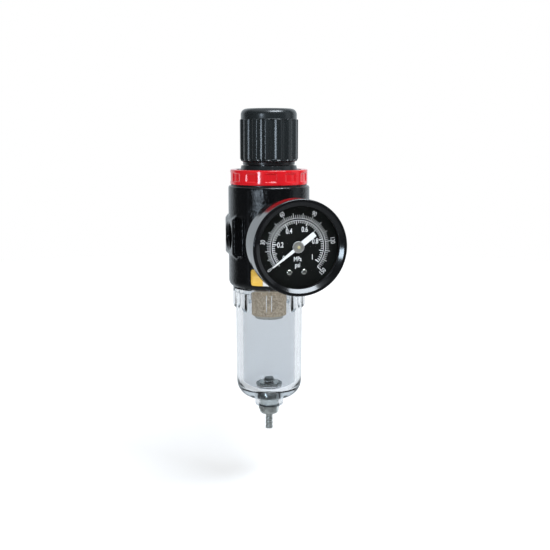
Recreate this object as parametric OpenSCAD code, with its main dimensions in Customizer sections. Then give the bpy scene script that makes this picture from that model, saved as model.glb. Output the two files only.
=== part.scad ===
// Air filter-regulator with a clear bowl, a push-lock knob and a dial gauge.
// Millimetres. The inlet's mouth is at the origin, flow runs along +X, the knob is up and the gauge faces -Y.

/* [Overall] */
// Height from the tip of the hose barb to the top of the knob, which sets the bowl's length
overall_h = 161.8; // [154:0.2:180]

/* [Body] */
// Radius of the die-cast body
body_r = 20; // [19:0.5:23]
// Height of the body's top face above the port axis
body_top = 24.5; // [23.5:0.5:30]
// Depth of the body's bottom edge below the port axis
body_drop = 25.5; // [24.5:0.5:32]
// Rounding of the body's bottom edge
body_foot_round = 3.2; // [1:0.2:3.6]
// How far each port face stands proud of the body
port_proud = 0.5; // [0.2:0.1:5]
// Width of the port blocks across the flow
port_w = 18; // [17:0.5:20]
// Height of the port blocks
port_h = 21.4; // [18:0.2:24]
// Bevel at the top and bottom of each port face
port_bevel = 2.2; // [0.6:0.2:3]
// Rounding of the upright edges of each port face
port_round = 2; // [0.5:0.1:3]
// Radius of the threaded inlet and outlet, at the crest of the thread
port_bore_r = 5.9; // [5.2:0.1:6.2]
// Depth of the threaded inlet and outlet
port_depth = 11; // [9:0.5:11.5]
// Width of the clamp pockets beside the port faces
pocket_w = 4.4; // [3.6:0.2:6]
// Height of the clamp pockets
pocket_h = 20; // [12:0.5:21]
// Thickness of the flange between a port face and its clamp pockets
pocket_flange = 1.2; // [0.8:0.1:2]
// Radius of the two gauge ports
gauge_port_r = 4.3; // [3.8:0.1:4.8]
// Radius of the pads round the gauge ports
gauge_pad_r = 8; // [6.5:0.5:9.5]
// How far the gauge port pads stand proud of the body
gauge_pad_proud = 1.2; // [0.6:0.2:2.4]

/* [Bonnet and ring nut] */
// Radius of the bonnet's thread in the body
skirt_r = 17; // [16.4:0.1:17.6]
// Length of the bonnet's thread in the body
skirt_len = 11; // [9.5:0.5:11]
// Radius of the bonnet's flange on the body
flange_r = 18.7; // [18:0.1:18.9]
// Thickness of the bonnet's flange
flange_t = 0.5; // [0.4:0.1:2]
// Radius of the neck that carries the ring nut
neck_r = 15; // [14.7:0.1:15.6]
// Outer radius of the ring nut
ring_r = 19; // [18:0.25:22]
// Height of the ring nut
ring_h = 7.2; // [5:0.2:8]
// Number of finger recesses round the ring nut
ring_recesses = 6; // [4:1:10]
// Height of the collar that takes the knob's rim
collar_h = 1.8; // [1.6:0.1:3]
// Outer radius of the bonnet's spring tower
tower_r = 11.2; // [11:0.1:11.4]
// Height of the spring tower above the bonnet's flange
tower_h = 24.5; // [23.5:0.5:26]

/* [Knob] */
// Radius over the knob's ribs
knob_r = 14.3; // [14:0.05:14.5]
// Radius of the knob's smooth cap
cap_r = 13.65; // [13.5:0.05:13.9]
// Length of the knob from its rim to its top
knob_len = 26.9; // [26:0.1:30]
// Height of the smooth cap
cap_h = 5.2; // [4:0.2:7]
// Rounding of the knob's top edge
cap_round = 2.8; // [1:0.2:3.6]
// Number of ribs round the knob
knob_ribs = 15; // [10:1:24]
// Depth of the grooves between the ribs
groove_depth = 0.75; // [0.3:0.05:1]
// Travel of the knob from turning to locked
lock_travel = 1.8; // [1:0.1:2]
// Number of lock teeth
lock_teeth = 24; // [12:2:30]

/* [Adjusting gear] */
// Radius of the adjusting screw's thread
screw_r = 4; // [3:0.25:4.5]
// Travel of the spring nut from slack to full pressure
nut_travel = 7.5; // [5:0.5:8]
// Height of the spring nut
nut_h = 5; // [4:0.25:5.5]
// Wire diameter of the adjusting spring
spring_wire = 2; // [1.4:0.1:2.2]
// Turns of the adjusting spring
spring_turns = 6; // [4:1:7]
// Thickness of the diaphragm's bead
bead_t = 1.5; // [1.2:0.1:1.8]

/* [Bowl] */
// Outer radius of the bowl at its top
bowl_r = 16.6; // [16.2:0.1:17.4]
// Inner radius of the bowl at its mouth
bowl_bore_r = 13.4; // [13.2:0.1:13.8]
// Radius of the bowl's thread in the body
bowl_neck_r = 15.8; // [15.2:0.1:16.4]
// Length of the bowl's thread in the body
bowl_neck_len = 9; // [8:0.25:9.5]
// Radius of the collar below the body
bowl_collar_r = 18; // [17.5:0.1:19]
// Height of the collar below the body
bowl_collar_h = 1.9; // [1.5:0.1:4]
// Number of grip ribs
grip_ribs = 8; // [4:1:12]
// Width of a grip rib
grip_rib_w = 2.6; // [1.6:0.1:4]
// Length of the grip ribs below the collar
grip_rib_len = 8.6; // [6:0.2:16]
// Radius of the boss under the bowl
boss_r = 7.1; // [6.6:0.1:8.5]
// Length of the boss under the bowl
boss_len = 4.1; // [3:0.1:6]

/* [Filter and valve] */
// Outer radius of the filter element
element_r = 8.75; // [7.5:0.25:11]
// Length of the filter element
element_len = 20.8; // [14:0.2:24]
// Wall of the filter element
element_wall = 2.5; // [1.5:0.1:3]
// Radius of the valve's orifice
orifice_r = 3.5; // [2.6:0.1:3.6]
// Opening travel of the valve
valve_travel = 1.2; // [0.6:0.1:1.4]
// Radius of the valve stem
stem_r = 1.5; // [1:0.1:1.6]

/* [Drain] */
// Radius of the hose barb
barb_r = 1.85; // [1.8:0.05:2.6]
// Length of the hose barb
barb_len = 8.6; // [6:0.2:12]
// Radius of the drain body in the boss
drain_r = 4.9; // [4.4:0.1:5.2]
// Height of the drain's hexagon head
drain_hex_h = 4.2; // [3:0.2:6]
// Opening travel of the drain stem
drain_travel = 2.5; // [1.5:0.1:3]

/* [Gauge] */
// Distance from the main axis to the front of the gauge
gauge_reach = 54; // [52:0.5:62]
// Radius of the gauge bezel
bezel_r = 21.5; // [21:0.1:23]
// Step from the gauge case out to its bezel
bezel_step = 1.5; // [1:0.1:2]
// Depth of the gauge from its front to the back of its case
gauge_depth = 22; // [21:0.5:24]
// Width of the bezel's front, from its edge in to the opening
bezel_front_w = 3.2; // [2.6:0.1:4]
// Length of the pointer from its axis to its tip
pointer_len = 14.6; // [12:0.2:16]
// Pitch radius of the sector gear, as a share of the case's radius
sector_share = 0.54; // [0.48:0.01:0.56]

/* [Clearances] */
// Running clearance between turning or sliding fits
run = 0.06; // [0.04:0.01:0.1]
// Gap between faces of pieces that move apart
seat = 0.1; // [0.06:0.01:0.2]

/* [Hidden] */
$fn = 64;
cut = 1;
port_reach = body_r + port_proud;

// Heights above the port axis, from the body upwards
ledge_z = body_top - skirt_len - bead_t;
web = 1.6;
chamber_floor_z = port_bore_r + web;
chamber_r = skirt_r - 3.5;
flange_top_z = body_top + flange_t;
ring_z = flange_top_z + seat;
ring_top_z = ring_z + ring_h;
collar_z = ring_top_z;
collar_top_z = collar_z + collar_h;
collar_foot_r = 13.9;
collar_lip_r = 13.55;
rim_r = 12.75;
recess_r = rim_r + 0.2;
tower_top_z = flange_top_z + tower_h;
tower_plate = 2.5;
tower_bore_r = tower_r - 1.4;
plate_under_z = tower_top_z - tower_plate;

// Knob: its rim hangs just above the collar's recess
knob_gap = 0.4;
knob_z = collar_top_z + knob_gap;
knob_top_z = knob_z + knob_len;
rim_h = 1.4;
rib_foot_z = knob_z + rim_h;
rib_bevel_h = 1.1;
rib_top_z = knob_top_z - cap_h;
ledge_fall = 0.3;
knob_bore_r = rim_r - 0.65;
hub_r = 6.5;
hub_z = tower_top_z + lock_travel + 0.4;
cap_wall = 2.8;
knob_roof_z = knob_top_z - cap_wall;
hex_flats = 7;
hex_top_z = knob_roof_z - lock_travel - 0.4;
tooth_h = lock_travel - 0.3;
tooth_w = 0.38 * 2 * PI * tower_r / lock_teeth;
tooth_r = tower_r + 0.68;
knob_tooth_r = tower_r + 0.2;
groove_angle = 0.44 * 360 / knob_ribs;
knob_clock = -6.6;

// Adjusting gear under the tower's plate
washer_t = 0.8;
thrust_r = 7;
thrust_t = 1.5;
journal_r = screw_r + 0.3;
thrust_z = plate_under_z - washer_t - seat - thrust_t;
nut_top_z = thrust_z - 0.9;
nut_z = nut_top_z - nut_h;
nut_r = tower_bore_r - 0.2;
ear_w = 3.6;
ear_r = tower_bore_r + 0.55;
screw_foot_z = nut_z - nut_travel - 3;
plate_t = 1.8;
membrane_t = 0.8;
membrane_z = ledge_z + (bead_t - membrane_t) / 2;
plate_z = membrane_z + membrane_t + seat / 2;
plate_r = chamber_r - 2.8;
plate_hub_h = 2.6;
spring_mid_r = tower_bore_r - 0.8 - spring_wire / 2;
relief_t = 1.5;
relief_z = membrane_z - seat / 2 - relief_t;
rivet_r = 2.1;
vent_r = 0.8;

// Below the port axis: valve chamber, filter and bowl
bowl_shoulder_gap = 0.3;
ceiling_z = -body_drop + bowl_neck_len + 2;
valve_bore_r = 6.5;
seat_z = 1.5;
seat_ring_r = orifice_r + 1.7;
seat_ring_top_z = seat_z + 3.4;
poppet_r = orifice_r + 1.4;
disc_t = 1.6;
poppet_t = 1.4;
disc_z = seat_z - seat - disc_t;
poppet_z = disc_z - poppet_t;
guide_top_z = poppet_z - valve_travel - 5.2;
guide_plug_r = valve_bore_r - 0.1;
guide_bore_z = guide_top_z - 4;
stem_foot_z = guide_bore_z + 0.4;
guide_flange_r = 9.5;
guide_flange_t = 1.6;
guide_flange_z = ceiling_z - guide_flange_t;
post_r = 4;
post_bore_r = 2.6;
valve_spring_wire = 0.6;
valve_spring_mid_r = stem_r + 1.9;
o_ring_r = 0.5;
guide_ring_z = guide_top_z - 2.6;

deflector_r = bowl_bore_r - 0.7;
deflector_t = 3;
deflector_z = guide_flange_z - seat - deflector_t;
element_top_z = deflector_z - seat;
element_z = element_top_z - element_len;
element_nut_r = element_r - 1.6;
element_nut_t = 1.6;
element_nut_z = element_z - element_nut_t;
post_foot_z = element_nut_z + 0.2;

bowl_neck_bore_r = bowl_neck_r + run;
shoulder_z = -body_drop - bowl_shoulder_gap;
collar_foot_z = shoulder_z - bowl_collar_h;
bowl_top_z = -body_drop + bowl_neck_len;
bowl_ring_z = bowl_top_z - 2.4;
bowl_ring_r = 0.65;
drain_hex_gap = 0.1;
bowl_foot_z = knob_top_z - overall_h + barb_len + drain_hex_h + drain_hex_gap + boss_len;
bowl_draft = 0.25;
bowl_round = 8.5;
bowl_floor_t = 5.4;
bowl_floor_z = bowl_foot_z + bowl_floor_t;
bowl_floor_r = bowl_bore_r - bowl_draft;
bowl_inner_round = 5;
boss_z = bowl_foot_z - boss_len;
bowl_clock = -15;

// Drain: body through the boss, nut inside, stem up the middle
drain_hex_top_z = boss_z - drain_hex_gap;
drain_hex_z = drain_hex_top_z - drain_hex_h;
drain_hex_r = drain_r + 0.6;
drain_hex_foot_r = drain_hex_r - 1;
gasket_t = 0.8;
drain_nut_r = 6.7;
drain_nut_t = 1.3;
gasket_z = bowl_floor_z;
drain_nut_z = gasket_z + gasket_t;
drain_top_z = drain_nut_z + drain_nut_t + 0.4;
drain_seal_t = 0.6;
drain_seal_z = drain_top_z + seat;
drain_head_r = 2.8;
drain_head_h = 1.6;
drain_head_z = drain_seal_z + drain_seal_t;
drain_stem_r = 1.6;
drain_bore_r = drain_stem_r + run;
drain_pocket_r = drain_r - 1.4;
drain_pocket_top_z = drain_top_z - 6.5;
stem_collar_r = drain_pocket_r - 0.15;
stem_collar_t = 1.4;
stem_collar_z = drain_hex_z + 0.6;
drain_spring_wire = 0.5;
drain_spring_mid_r = drain_pocket_r - 0.2 - drain_spring_wire / 2;
barb_tip_z = drain_hex_z - barb_len;
barb_rings = 3;
barb_pitch = 2.2;
barb_groove_r = barb_r - 0.45;
barb_bore_r = 0.9;
barb_neck = 0.5;

// Gauge, measured outwards from the main axis along its own axis
case_back = gauge_reach - gauge_depth;
case_r = bezel_r - bezel_step;
sight_r = bezel_r - bezel_front_w;
case_wall = 1;
case_round = 3;
bezel_len = 7.5;
bezel_round = 1.2;
bezel_back = gauge_reach - bezel_len;
lip_front = gauge_reach - 1;
lip_back = gauge_reach - 1.6;
window_t = 1.25;
window_back = lip_back - seat / 2 - window_t;
gasket_ring_t = 0.55;
case_front = window_back - gasket_ring_t - seat / 2;
dial_front = case_front - 1;
dial_t = 0.5;
dial_back = dial_front - dial_t;
dial_r = case_r - case_wall - 0.4;
dial_screw_x = 0.17 * case_r;
dial_screw_mid = -0.025 * case_r;
dial_screw_y = -0.565 * case_r;
dial_screw_r = 1.3;
dial_screw_shank_r = 0.6;
dial_screw_h = 0.5;
stop_pin_r = 0.4;
stop_pin_h = 0.9;
stop_pin_at = 0.595 * case_r;
stop_pin_angle = 222;
movement_plate_t = 0.8;
movement_post_r = 1.5;
movement_gap = 7.5;
front_plate = dial_back - 1.6 - movement_plate_t;
back_plate = front_plate - movement_gap;
movement_x = 0.41 * case_r;
movement_low = -0.76 * case_r;
movement_high = 0.325 * case_r;
pillar_r = 0.9;
pillar_at = case_r * [[-0.2, 0.225], [0.2, 0.225], [-0.35, -0.65]];
socket_thread_r = gauge_port_r - run;
socket_thread_len = 10;
gauge_pad_face = body_r + gauge_pad_proud;
socket_thread_back = gauge_pad_face - socket_thread_len;
socket_hex_back = gauge_pad_face + 0.8;
socket_hex_r = 6.9;
socket_hex_front = case_back - 3.8;
socket_neck_r = 4.8;
socket_block_w = 7;
socket_bore_r = 1.4;

// Gauge movement: the sector turns the pinion on the pointer's arbor
gear_ratio = 6;
pinion_teeth = 12;
sector_pitch_r = sector_share * case_r;
pinion_pitch_r = sector_pitch_r / gear_ratio;
gear_module = 2 * pinion_pitch_r / pinion_teeth;
sector_pivot_y = -(pinion_pitch_r + sector_pitch_r);
sector_pitch_angle = 360 / (pinion_teeth * gear_ratio);
sector_first = -11;
sector_last = 1;
pressure_angle = 20;
tooth_share = 0.4;
addendum = 0.8 * gear_module;
dedendum = 1.25 * gear_module;
sector_back = back_plate + movement_plate_t + 2.4;
sector_t = 1.6;
pinion_t = 2.2;
arbor_r = 0.6;
sector_arbor_r = 0.7;
tail_len = 0.24 * case_r;
tail_angle = -100;
tail_x = tail_len * cos(tail_angle);
tail_y = sector_pivot_y + tail_len * sin(tail_angle);
link_back = sector_back + sector_t + 0.4;
link_t = 0.6;
link_eye_r = 1.1;
link_pin_r = 0.5;
link_tip_hole_r = 0.8;
tube_r = 0.75 * case_r;
tube_w = 4.2;
tube_t = 1.6;
tube_wall = 0.35;
tube_back = case_back + case_wall + 1.2;
socket_arm_w = 4.4;
socket_arm_len = sqrt(pow(tube_r - tube_t / 2, 2) - pow(socket_arm_w / 2, 2));
tube_root_angle = 240;
tube_tip_angle = -50;
tip_angle_span = 9;
tip_x = tube_r * cos(tube_tip_angle);
tip_y = tube_r * sin(tube_tip_angle);
pointer_back = dial_front + 0.5;
pointer_t = 0.35;
pointer_tail = 0.645 * pointer_len;
pointer_root_w = 1.7;
pointer_tip_w = 0.5;
pointer_tail_w = 2.4;
pointer_hub_r = 2.6;
pointer_cap_r = 2.5;
pointer_cap_h = 0.6;
pointer_rest = 217;

// Points along an arc, from one angle to another
function arc(x, y, r, from, to, steps = 6) = [
    for (i = [0 : steps])
        let (a = from + (to - from) * i / steps)
            [x + r * cos(a), y + r * sin(a)]
];
function polar(r, a) = [r * cos(a), r * sin(a)];

// A round spring is one tube swept along a helix
coil_rings = 12;
coil_sides = 6;
function coil_path(r, z_low, z_high, wire, turns) = [
    for (i = [0 : turns * coil_rings])
        let (t = i / (turns * coil_rings))
            concat(polar(r, 360 * turns * t), z_low + wire / 2 + (z_high - z_low - wire) * t)
];
function coil_points(path, wire) = [
    for (i = [0 : len(path) - 1], k = [0 : coil_sides - 1])
        let (a = 360 * i / coil_rings, b = 360 * k / coil_sides)
            path[i] + wire / 2 * [cos(b) * cos(a), cos(b) * sin(a), sin(b)]
];
function coil_faces(rings) = concat(
    [for (i = [0 : rings - 2], k = [0 : coil_sides - 1])
        let (n = (k + 1) % coil_sides)
            [i * coil_sides + k, i * coil_sides + n, (i + 1) * coil_sides + n]],
    [for (i = [0 : rings - 2], k = [0 : coil_sides - 1])
        let (n = (k + 1) % coil_sides)
            [i * coil_sides + k, (i + 1) * coil_sides + n, (i + 1) * coil_sides + k]],
    [for (k = [1 : coil_sides - 2]) [0, k + 1, k]],
    [for (k = [1 : coil_sides - 2]) (rings - 1) * coil_sides * [1, 1, 1] + [0, k, k + 1]]
);
function coil_gap(path, wire) = min([
    for (i = [0 : len(path) - 1 - coil_rings], k = [coil_rings - 2 : coil_rings + 2])
        if (i + k < len(path)) norm(path[i + k] - path[i]) - wire
]);

// Involute gear teeth
function involute(a) = tan(a) * 180 / PI - a;
function flank(r, pitch_r, teeth) =
    let (base_r = pitch_r * cos(pressure_angle))
        180 * tooth_share / teeth + involute(pressure_angle) - involute(acos(min(1, base_r / r)));
function tooth_radii(pitch_r) =
    let (low = pitch_r - dedendum - 0.1, base_r = pitch_r * cos(pressure_angle), tip = pitch_r + addendum)
        [low, max(low + 0.05, base_r), (max(low, base_r) + tip) / 2, tip];
function gear_tooth(pitch_r, teeth, at) =
    let (radii = tooth_radii(pitch_r))
        concat(
            [for (i = [0 : 3]) polar(radii[i], at - flank(radii[i], pitch_r, teeth))],
            [for (i = [3 : -1 : 0]) polar(radii[i], at + flank(radii[i], pitch_r, teeth))]
        );

// Moves a piece from the main axis to the part's frame
module place() translate([port_reach, 0, 0]) children();

// Turns +Z to the gauge's own axis, out of the front of the body
module gauge_axis() rotate([90, 0, 0]) children();

module lathe(points) rotate_extrude() polygon(points);

module tube(r, bore, low, high) rotate_extrude() translate([bore, low]) square([r - bore, high - low]);

module rod(r, low, high) translate([0, 0, low]) cylinder(r = r, h = high - low);

module o_ring(r, section, z) rotate_extrude() translate([r, z]) circle(section);

module coil(path, wire) polyhedron(coil_points(path, wire), coil_faces(len(path)));

module hexagon(flats, low, high) rod(flats / 2 / cos(30), low, high, $fn = 6);

module soft_rectangle(wide, high, corner_r)
    offset(corner_r) square([wide - 2 * corner_r, high - 2 * corner_r], center = true);

module around(count) for (i = [0 : count - 1]) rotate(360 * i / count) children();

module port_block() {
    x = port_reach;
    z = port_h / 2;
    intersection() {
        rotate([90, 0, 0])
            linear_extrude(port_w, center = true)
                polygon([
                    [-x, -z + port_bevel], [-x + port_bevel, -z], [x - port_bevel, -z], [x, -z + port_bevel],
                    [x, z - port_bevel], [x - port_bevel, z], [-x + port_bevel, z], [-x, z - port_bevel]
                ]);
        linear_extrude(port_h + cut, center = true)
            soft_rectangle(2 * x, port_w, port_round);
    }
}

// Recesses in front of and behind each port, which a clamp grips
module clamp_pockets() {
    wall_beside_thread = 1.9;
    floor_y = port_bore_r + wall_beside_thread;
    corner_r = 1.5;
    for (side = [-1, 1], face = [-1, 1])
        translate([side * (port_reach - pocket_flange - pocket_w / 2), face * (floor_y + body_r / 2), 0])
            rotate([90, 0, 0])
                linear_extrude(body_r, center = true)
                    soft_rectangle(pocket_w, pocket_h, corner_r);
}

module body_ports() {
    mouth_r = port_bore_r + 1.3;
    mouth_h = 0.9;
    passage_r = 2.5;
    passage_x = port_reach - port_depth + 1;
    sense_r = 1.2;
    sense_y = socket_thread_back + 1.5;
    for (side = [0, 180])
        rotate([0, 90, side]) {
            rod(port_bore_r, port_reach - port_depth, port_reach + cut);
            lathe([
                [0, port_reach - mouth_h], [port_bore_r, port_reach - mouth_h], [mouth_r, port_reach],
                [mouth_r, port_reach + cut], [0, port_reach + cut]
            ]);
        }
    translate([-passage_x, 0, 0])
        rod(passage_r, ceiling_z - cut, 0);
    translate([passage_x, 0, 0])
        rod(passage_r, 0, chamber_floor_z + cut);
    for (face = [0, 180])
        rotate(face) {
            gauge_axis()
                rod(gauge_port_r, socket_thread_back, gauge_pad_face + cut);
            translate([0, -sense_y, 0])
                rod(sense_r, 0, chamber_floor_z + cut);
        }
}

module body() {
    top_round = 1;
    color("#1c1d1f")
        difference() {
            union() {
                lathe(concat(
                    [[0, -body_drop]],
                    arc(body_r - body_foot_round, body_foot_round - body_drop, body_foot_round, -90, 0),
                    arc(body_r - top_round, body_top - top_round, top_round, 0, 90),
                    [[0, body_top]]
                ));
                port_block();
                for (face = [0, 180])
                    rotate(face)
                        gauge_axis()
                            rod(gauge_pad_r, valve_bore_r + 4, gauge_pad_face);
            }
            clamp_pockets();
            body_ports();
            rod(skirt_r + run, ledge_z, body_top + cut);
            rod(chamber_r, chamber_floor_z, body_top);
            rod(orifice_r + run, seat_z, chamber_floor_z + cut);
            rod(seat_ring_r + run, seat_z - cut, seat_ring_top_z);
            rod(valve_bore_r, ceiling_z - cut, seat_z);
            rod(bowl_neck_bore_r, -body_drop - cut, ceiling_z);
        }
}

module valve_seat() color("#b08d3c") {
    tube(seat_ring_r, orifice_r, seat_z, seat_ring_top_z - run);
}

module valve_stem() color("#b9a25a") {
    rod(stem_r, stem_foot_z, relief_z - seat);
    rod(poppet_r, poppet_z, disc_z);
}

module valve_disc() color("#26262a") {
    tube(poppet_r - 0.2, stem_r, disc_z, disc_z + disc_t);
}

module valve_spring() color("#c8ccd0") {
    coil(
        coil_path(valve_spring_mid_r, guide_top_z + seat, poppet_z - seat, valve_spring_wire, 5),
        valve_spring_wire
    );
}

// Closes the valve chamber, guides the stem and carries the filter on its hollow post
module valve_guide() color("#d8d8d2") {
    flow_holes = 3;
    flow_r = 0.8;
    flow_at = 2.9;
    window_r = 1.4;
    groove_r = guide_plug_r - 2 * o_ring_r - 0.05;
    groove_h = 2 * o_ring_r + 0.4;
    difference() {
        union() {
            rod(guide_plug_r, ceiling_z, guide_top_z);
            rod(guide_flange_r, guide_flange_z, ceiling_z);
            rod(post_r, post_foot_z, ceiling_z);
        }
        tube(guide_plug_r + cut, groove_r, guide_ring_z - groove_h / 2, guide_ring_z + groove_h / 2);
        rod(stem_r + run, post_foot_z - cut, guide_top_z + cut);
        rod(post_bore_r, post_foot_z - cut, guide_bore_z);
        around(flow_holes)
            translate([flow_at, 0, 0])
                rod(flow_r, guide_bore_z - cut, guide_top_z + cut);
        for (level = [1 : 3], turn = [0, 90])
            translate([0, 0, element_top_z - element_len * level / 4])
                rotate([90, 0, turn])
                    cylinder(r = window_r, h = 2 * post_r + cut, center = true);
    }
}

module guide_o_ring() color("#202022") {
    o_ring(guide_plug_r - o_ring_r - 0.02, o_ring_r, guide_ring_z);
}

// Swirl vanes round the filter, cut as slanted slots
module deflector() color("#2a2b2e") {
    vanes = 12;
    slot_w = 2.2;
    slot_depth = 3;
    slot_tilt = 35;
    difference() {
        tube(deflector_r, post_r + run, deflector_z, deflector_z + deflector_t);
        around(vanes)
            translate([deflector_r, 0, deflector_z + deflector_t / 2])
                rotate([slot_tilt, 0, 0])
                    cube([2 * slot_depth, slot_w, 3 * deflector_t], center = true);
    }
}

module filter_element() color("#b3a283") {
    tube(element_r, element_r - element_wall, element_z, element_top_z);
}

module element_nut() color("#2a2b2e") {
    slot_w = 1.4;
    slot_depth = 0.8;
    difference() {
        union() {
            rod(element_nut_r, element_nut_z, element_z);
            rod(element_r - element_wall - run, element_z, element_z + 1);
        }
        rod(post_r + run, post_foot_z, element_z + 1 + cut);
        translate([0, 0, element_nut_z])
            cube([2 * element_nut_r + cut, slot_w, 2 * slot_depth], center = true);
    }
}

module bonnet() {
    slot_w = ear_w + 0.4;
    slot_r = ear_r + 0.2;
    plate_room_z = plate_z + plate_t + 3;
    color("#17181a")
        difference() {
            union() {
                lathe([
                    [0, ledge_z + bead_t], [skirt_r, ledge_z + bead_t], [skirt_r, body_top],
                    [flange_r, body_top], [flange_r, flange_top_z], [neck_r, flange_top_z],
                    [neck_r, collar_z], [collar_foot_r, collar_z], [collar_lip_r, collar_top_z],
                    [recess_r, collar_top_z], [recess_r, collar_z], [tower_r, collar_z],
                    [tower_r, tower_top_z], [0, tower_top_z]
                ]);
                around(lock_teeth)
                    translate([tower_r - 0.2, -tooth_w / 2, collar_top_z - tooth_h])
                        cube([tooth_r - tower_r + 0.2, tooth_w, tooth_h]);
            }
            rod(tower_bore_r, ledge_z, plate_under_z);
            rod(chamber_r, ledge_z, plate_room_z);
            rod(journal_r + run, plate_under_z - cut, tower_top_z + cut);
            for (turn = [0, 180])
                rotate(turn)
                    translate([0, -slot_w / 2, screw_foot_z])
                        cube([slot_r, slot_w, nut_top_z + 0.5 - screw_foot_z]);
            translate([0, 0, tower_top_z - 8])
                rotate([90, 0, 0])
                    cylinder(r = vent_r, h = 2 * (tower_r + cut));
        }
}

module ring_nut() {
    edge = 0.8;
    recess_depth = 0.5;
    recess_w = 2 * ring_r * sin(0.37 * 180 / ring_recesses);
    recess_z = ring_z + 1.3;
    recess_top_z = ring_top_z - 1.3;
    color("#d2232f")
        difference() {
            lathe([
                [neck_r + run, ring_z], [ring_r - edge / 2, ring_z], [ring_r, ring_z + edge / 2],
                [ring_r, ring_top_z - edge], [ring_r - edge, ring_top_z], [neck_r + run, ring_top_z]
            ]);
            around(ring_recesses)
                rotate(-90)
                    intersection() {
                        difference() {
                            rod(ring_r + 1, recess_z, recess_top_z);
                            rod(ring_r - recess_depth, recess_z - cut, recess_top_z + cut);
                        }
                        translate([0, -recess_w / 2, ring_z])
                            cube([2 * ring_r, recess_w, ring_h]);
                    }
        }
}

module knob_grooves() {
    floor_r = knob_r - groove_depth;
    wide = 2 * knob_r * sin(groove_angle / 2);
    around(knob_ribs)
        rotate(knob_clock - 90)
            translate([floor_r, -wide / 2, knob_z - cut])
                cube([2 * groove_depth, wide, rib_top_z - ledge_fall / 2 + cut - knob_z]);
}

module knob() color("#1a1b1d") {
    difference() {
        rotate(knob_clock - 90 + 180 / knob_ribs)
            lathe(concat(
                [
                    [0, knob_z], [rim_r, knob_z], [rim_r, rib_foot_z], [knob_r, rib_foot_z + rib_bevel_h],
                    [knob_r, rib_top_z - ledge_fall], [cap_r, rib_top_z]
                ],
                arc(cap_r - cap_round, knob_top_z - cap_round, cap_round, 0, 90),
                [[0, knob_top_z]]
            ));
        knob_grooves();
        difference() {
            rod(knob_bore_r, knob_z - cut, knob_roof_z);
            rod(hub_r, hub_z, knob_roof_z + cut);
        }
        hexagon(hex_flats + 2 * run, hub_z - cut, knob_roof_z + cut / 4);
    }
    rotate(180 / lock_teeth)
        around(lock_teeth)
            translate([knob_tooth_r, -tooth_w / 2, knob_z])
                cube([knob_bore_r - knob_tooth_r + 0.2, tooth_w, tooth_h]);
}

module adjusting_screw() color("#b9bcc0") {
    hexagon(hex_flats, tower_top_z, hex_top_z);
    rod(journal_r, thrust_z, tower_top_z);
    rod(thrust_r, thrust_z, thrust_z + thrust_t);
    rod(screw_r, screw_foot_z, thrust_z);
}

module thrust_washer() color("#c9b46a") {
    tube(thrust_r + 0.5, journal_r + 0.1, plate_under_z - washer_t, plate_under_z);
}

module spring_nut() color("#c2a24c") {
    difference() {
        union() {
            rod(nut_r, nut_z, nut_top_z);
            translate([-ear_r, -ear_w / 2, nut_z])
                cube([2 * ear_r, ear_w, nut_h]);
        }
        rod(screw_r + run, nut_z - cut, nut_top_z + cut);
    }
}

adjusting_path = coil_path(spring_mid_r, plate_z + plate_t + seat, nut_z - seat, spring_wire, spring_turns);

module adjusting_spring() color("#aeb3b8") {
    coil(adjusting_path, spring_wire);
}

module spring_plate() color("#9da2a6") {
    difference() {
        union() {
            rod(plate_r, plate_z, plate_z + plate_t);
            rod(spring_mid_r - spring_wire, plate_z, plate_z + plate_t + plate_hub_h);
        }
        rod(rivet_r + run, plate_z - cut, plate_z + plate_t + plate_hub_h + cut);
    }
}

// Flat rubber disc with a bead at its rim and one rolled ridge
module diaphragm() {
    bead_r = chamber_r + 0.6;
    roll_mid = (plate_r + chamber_r) / 2;
    roll_r = (chamber_r - plate_r) / 2 - membrane_t / 2 - seat;
    top = membrane_z + membrane_t;
    color("#3a3330")
        lathe(concat(
            [[rivet_r + run, membrane_z]],
            arc(roll_mid, membrane_z, roll_r, 180, 0),
            [
                [bead_r, membrane_z], [bead_r, ledge_z], [skirt_r - 0.1, ledge_z],
                [skirt_r - 0.1, ledge_z + bead_t], [bead_r, ledge_z + bead_t], [bead_r, top]
            ],
            arc(roll_mid, top, roll_r + membrane_t / 2, 0, 180),
            [[rivet_r + run, top]]
        ));
}

module relief_seat() color("#c2a24c") {
    difference() {
        union() {
            rod(plate_r - 1, relief_z, relief_z + relief_t);
            rod(rivet_r, relief_z, plate_z + plate_t + plate_hub_h);
        }
        rod(vent_r, relief_z - cut, plate_z + plate_t + plate_hub_h + cut);
    }
}

module grip_rib() {
    rib_r = bowl_collar_r + 0.1;
    foot_z = collar_foot_z - grip_rib_len;
    rotate([90, 0, 0])
        linear_extrude(grip_rib_w, center = true)
            polygon([
                [bowl_bore_r + 1.2, collar_foot_z], [rib_r, collar_foot_z], [rib_r - 0.3, foot_z + 2],
                [bowl_r - bowl_draft, foot_z], [bowl_bore_r + 1.2, foot_z]
            ]);
}

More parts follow.
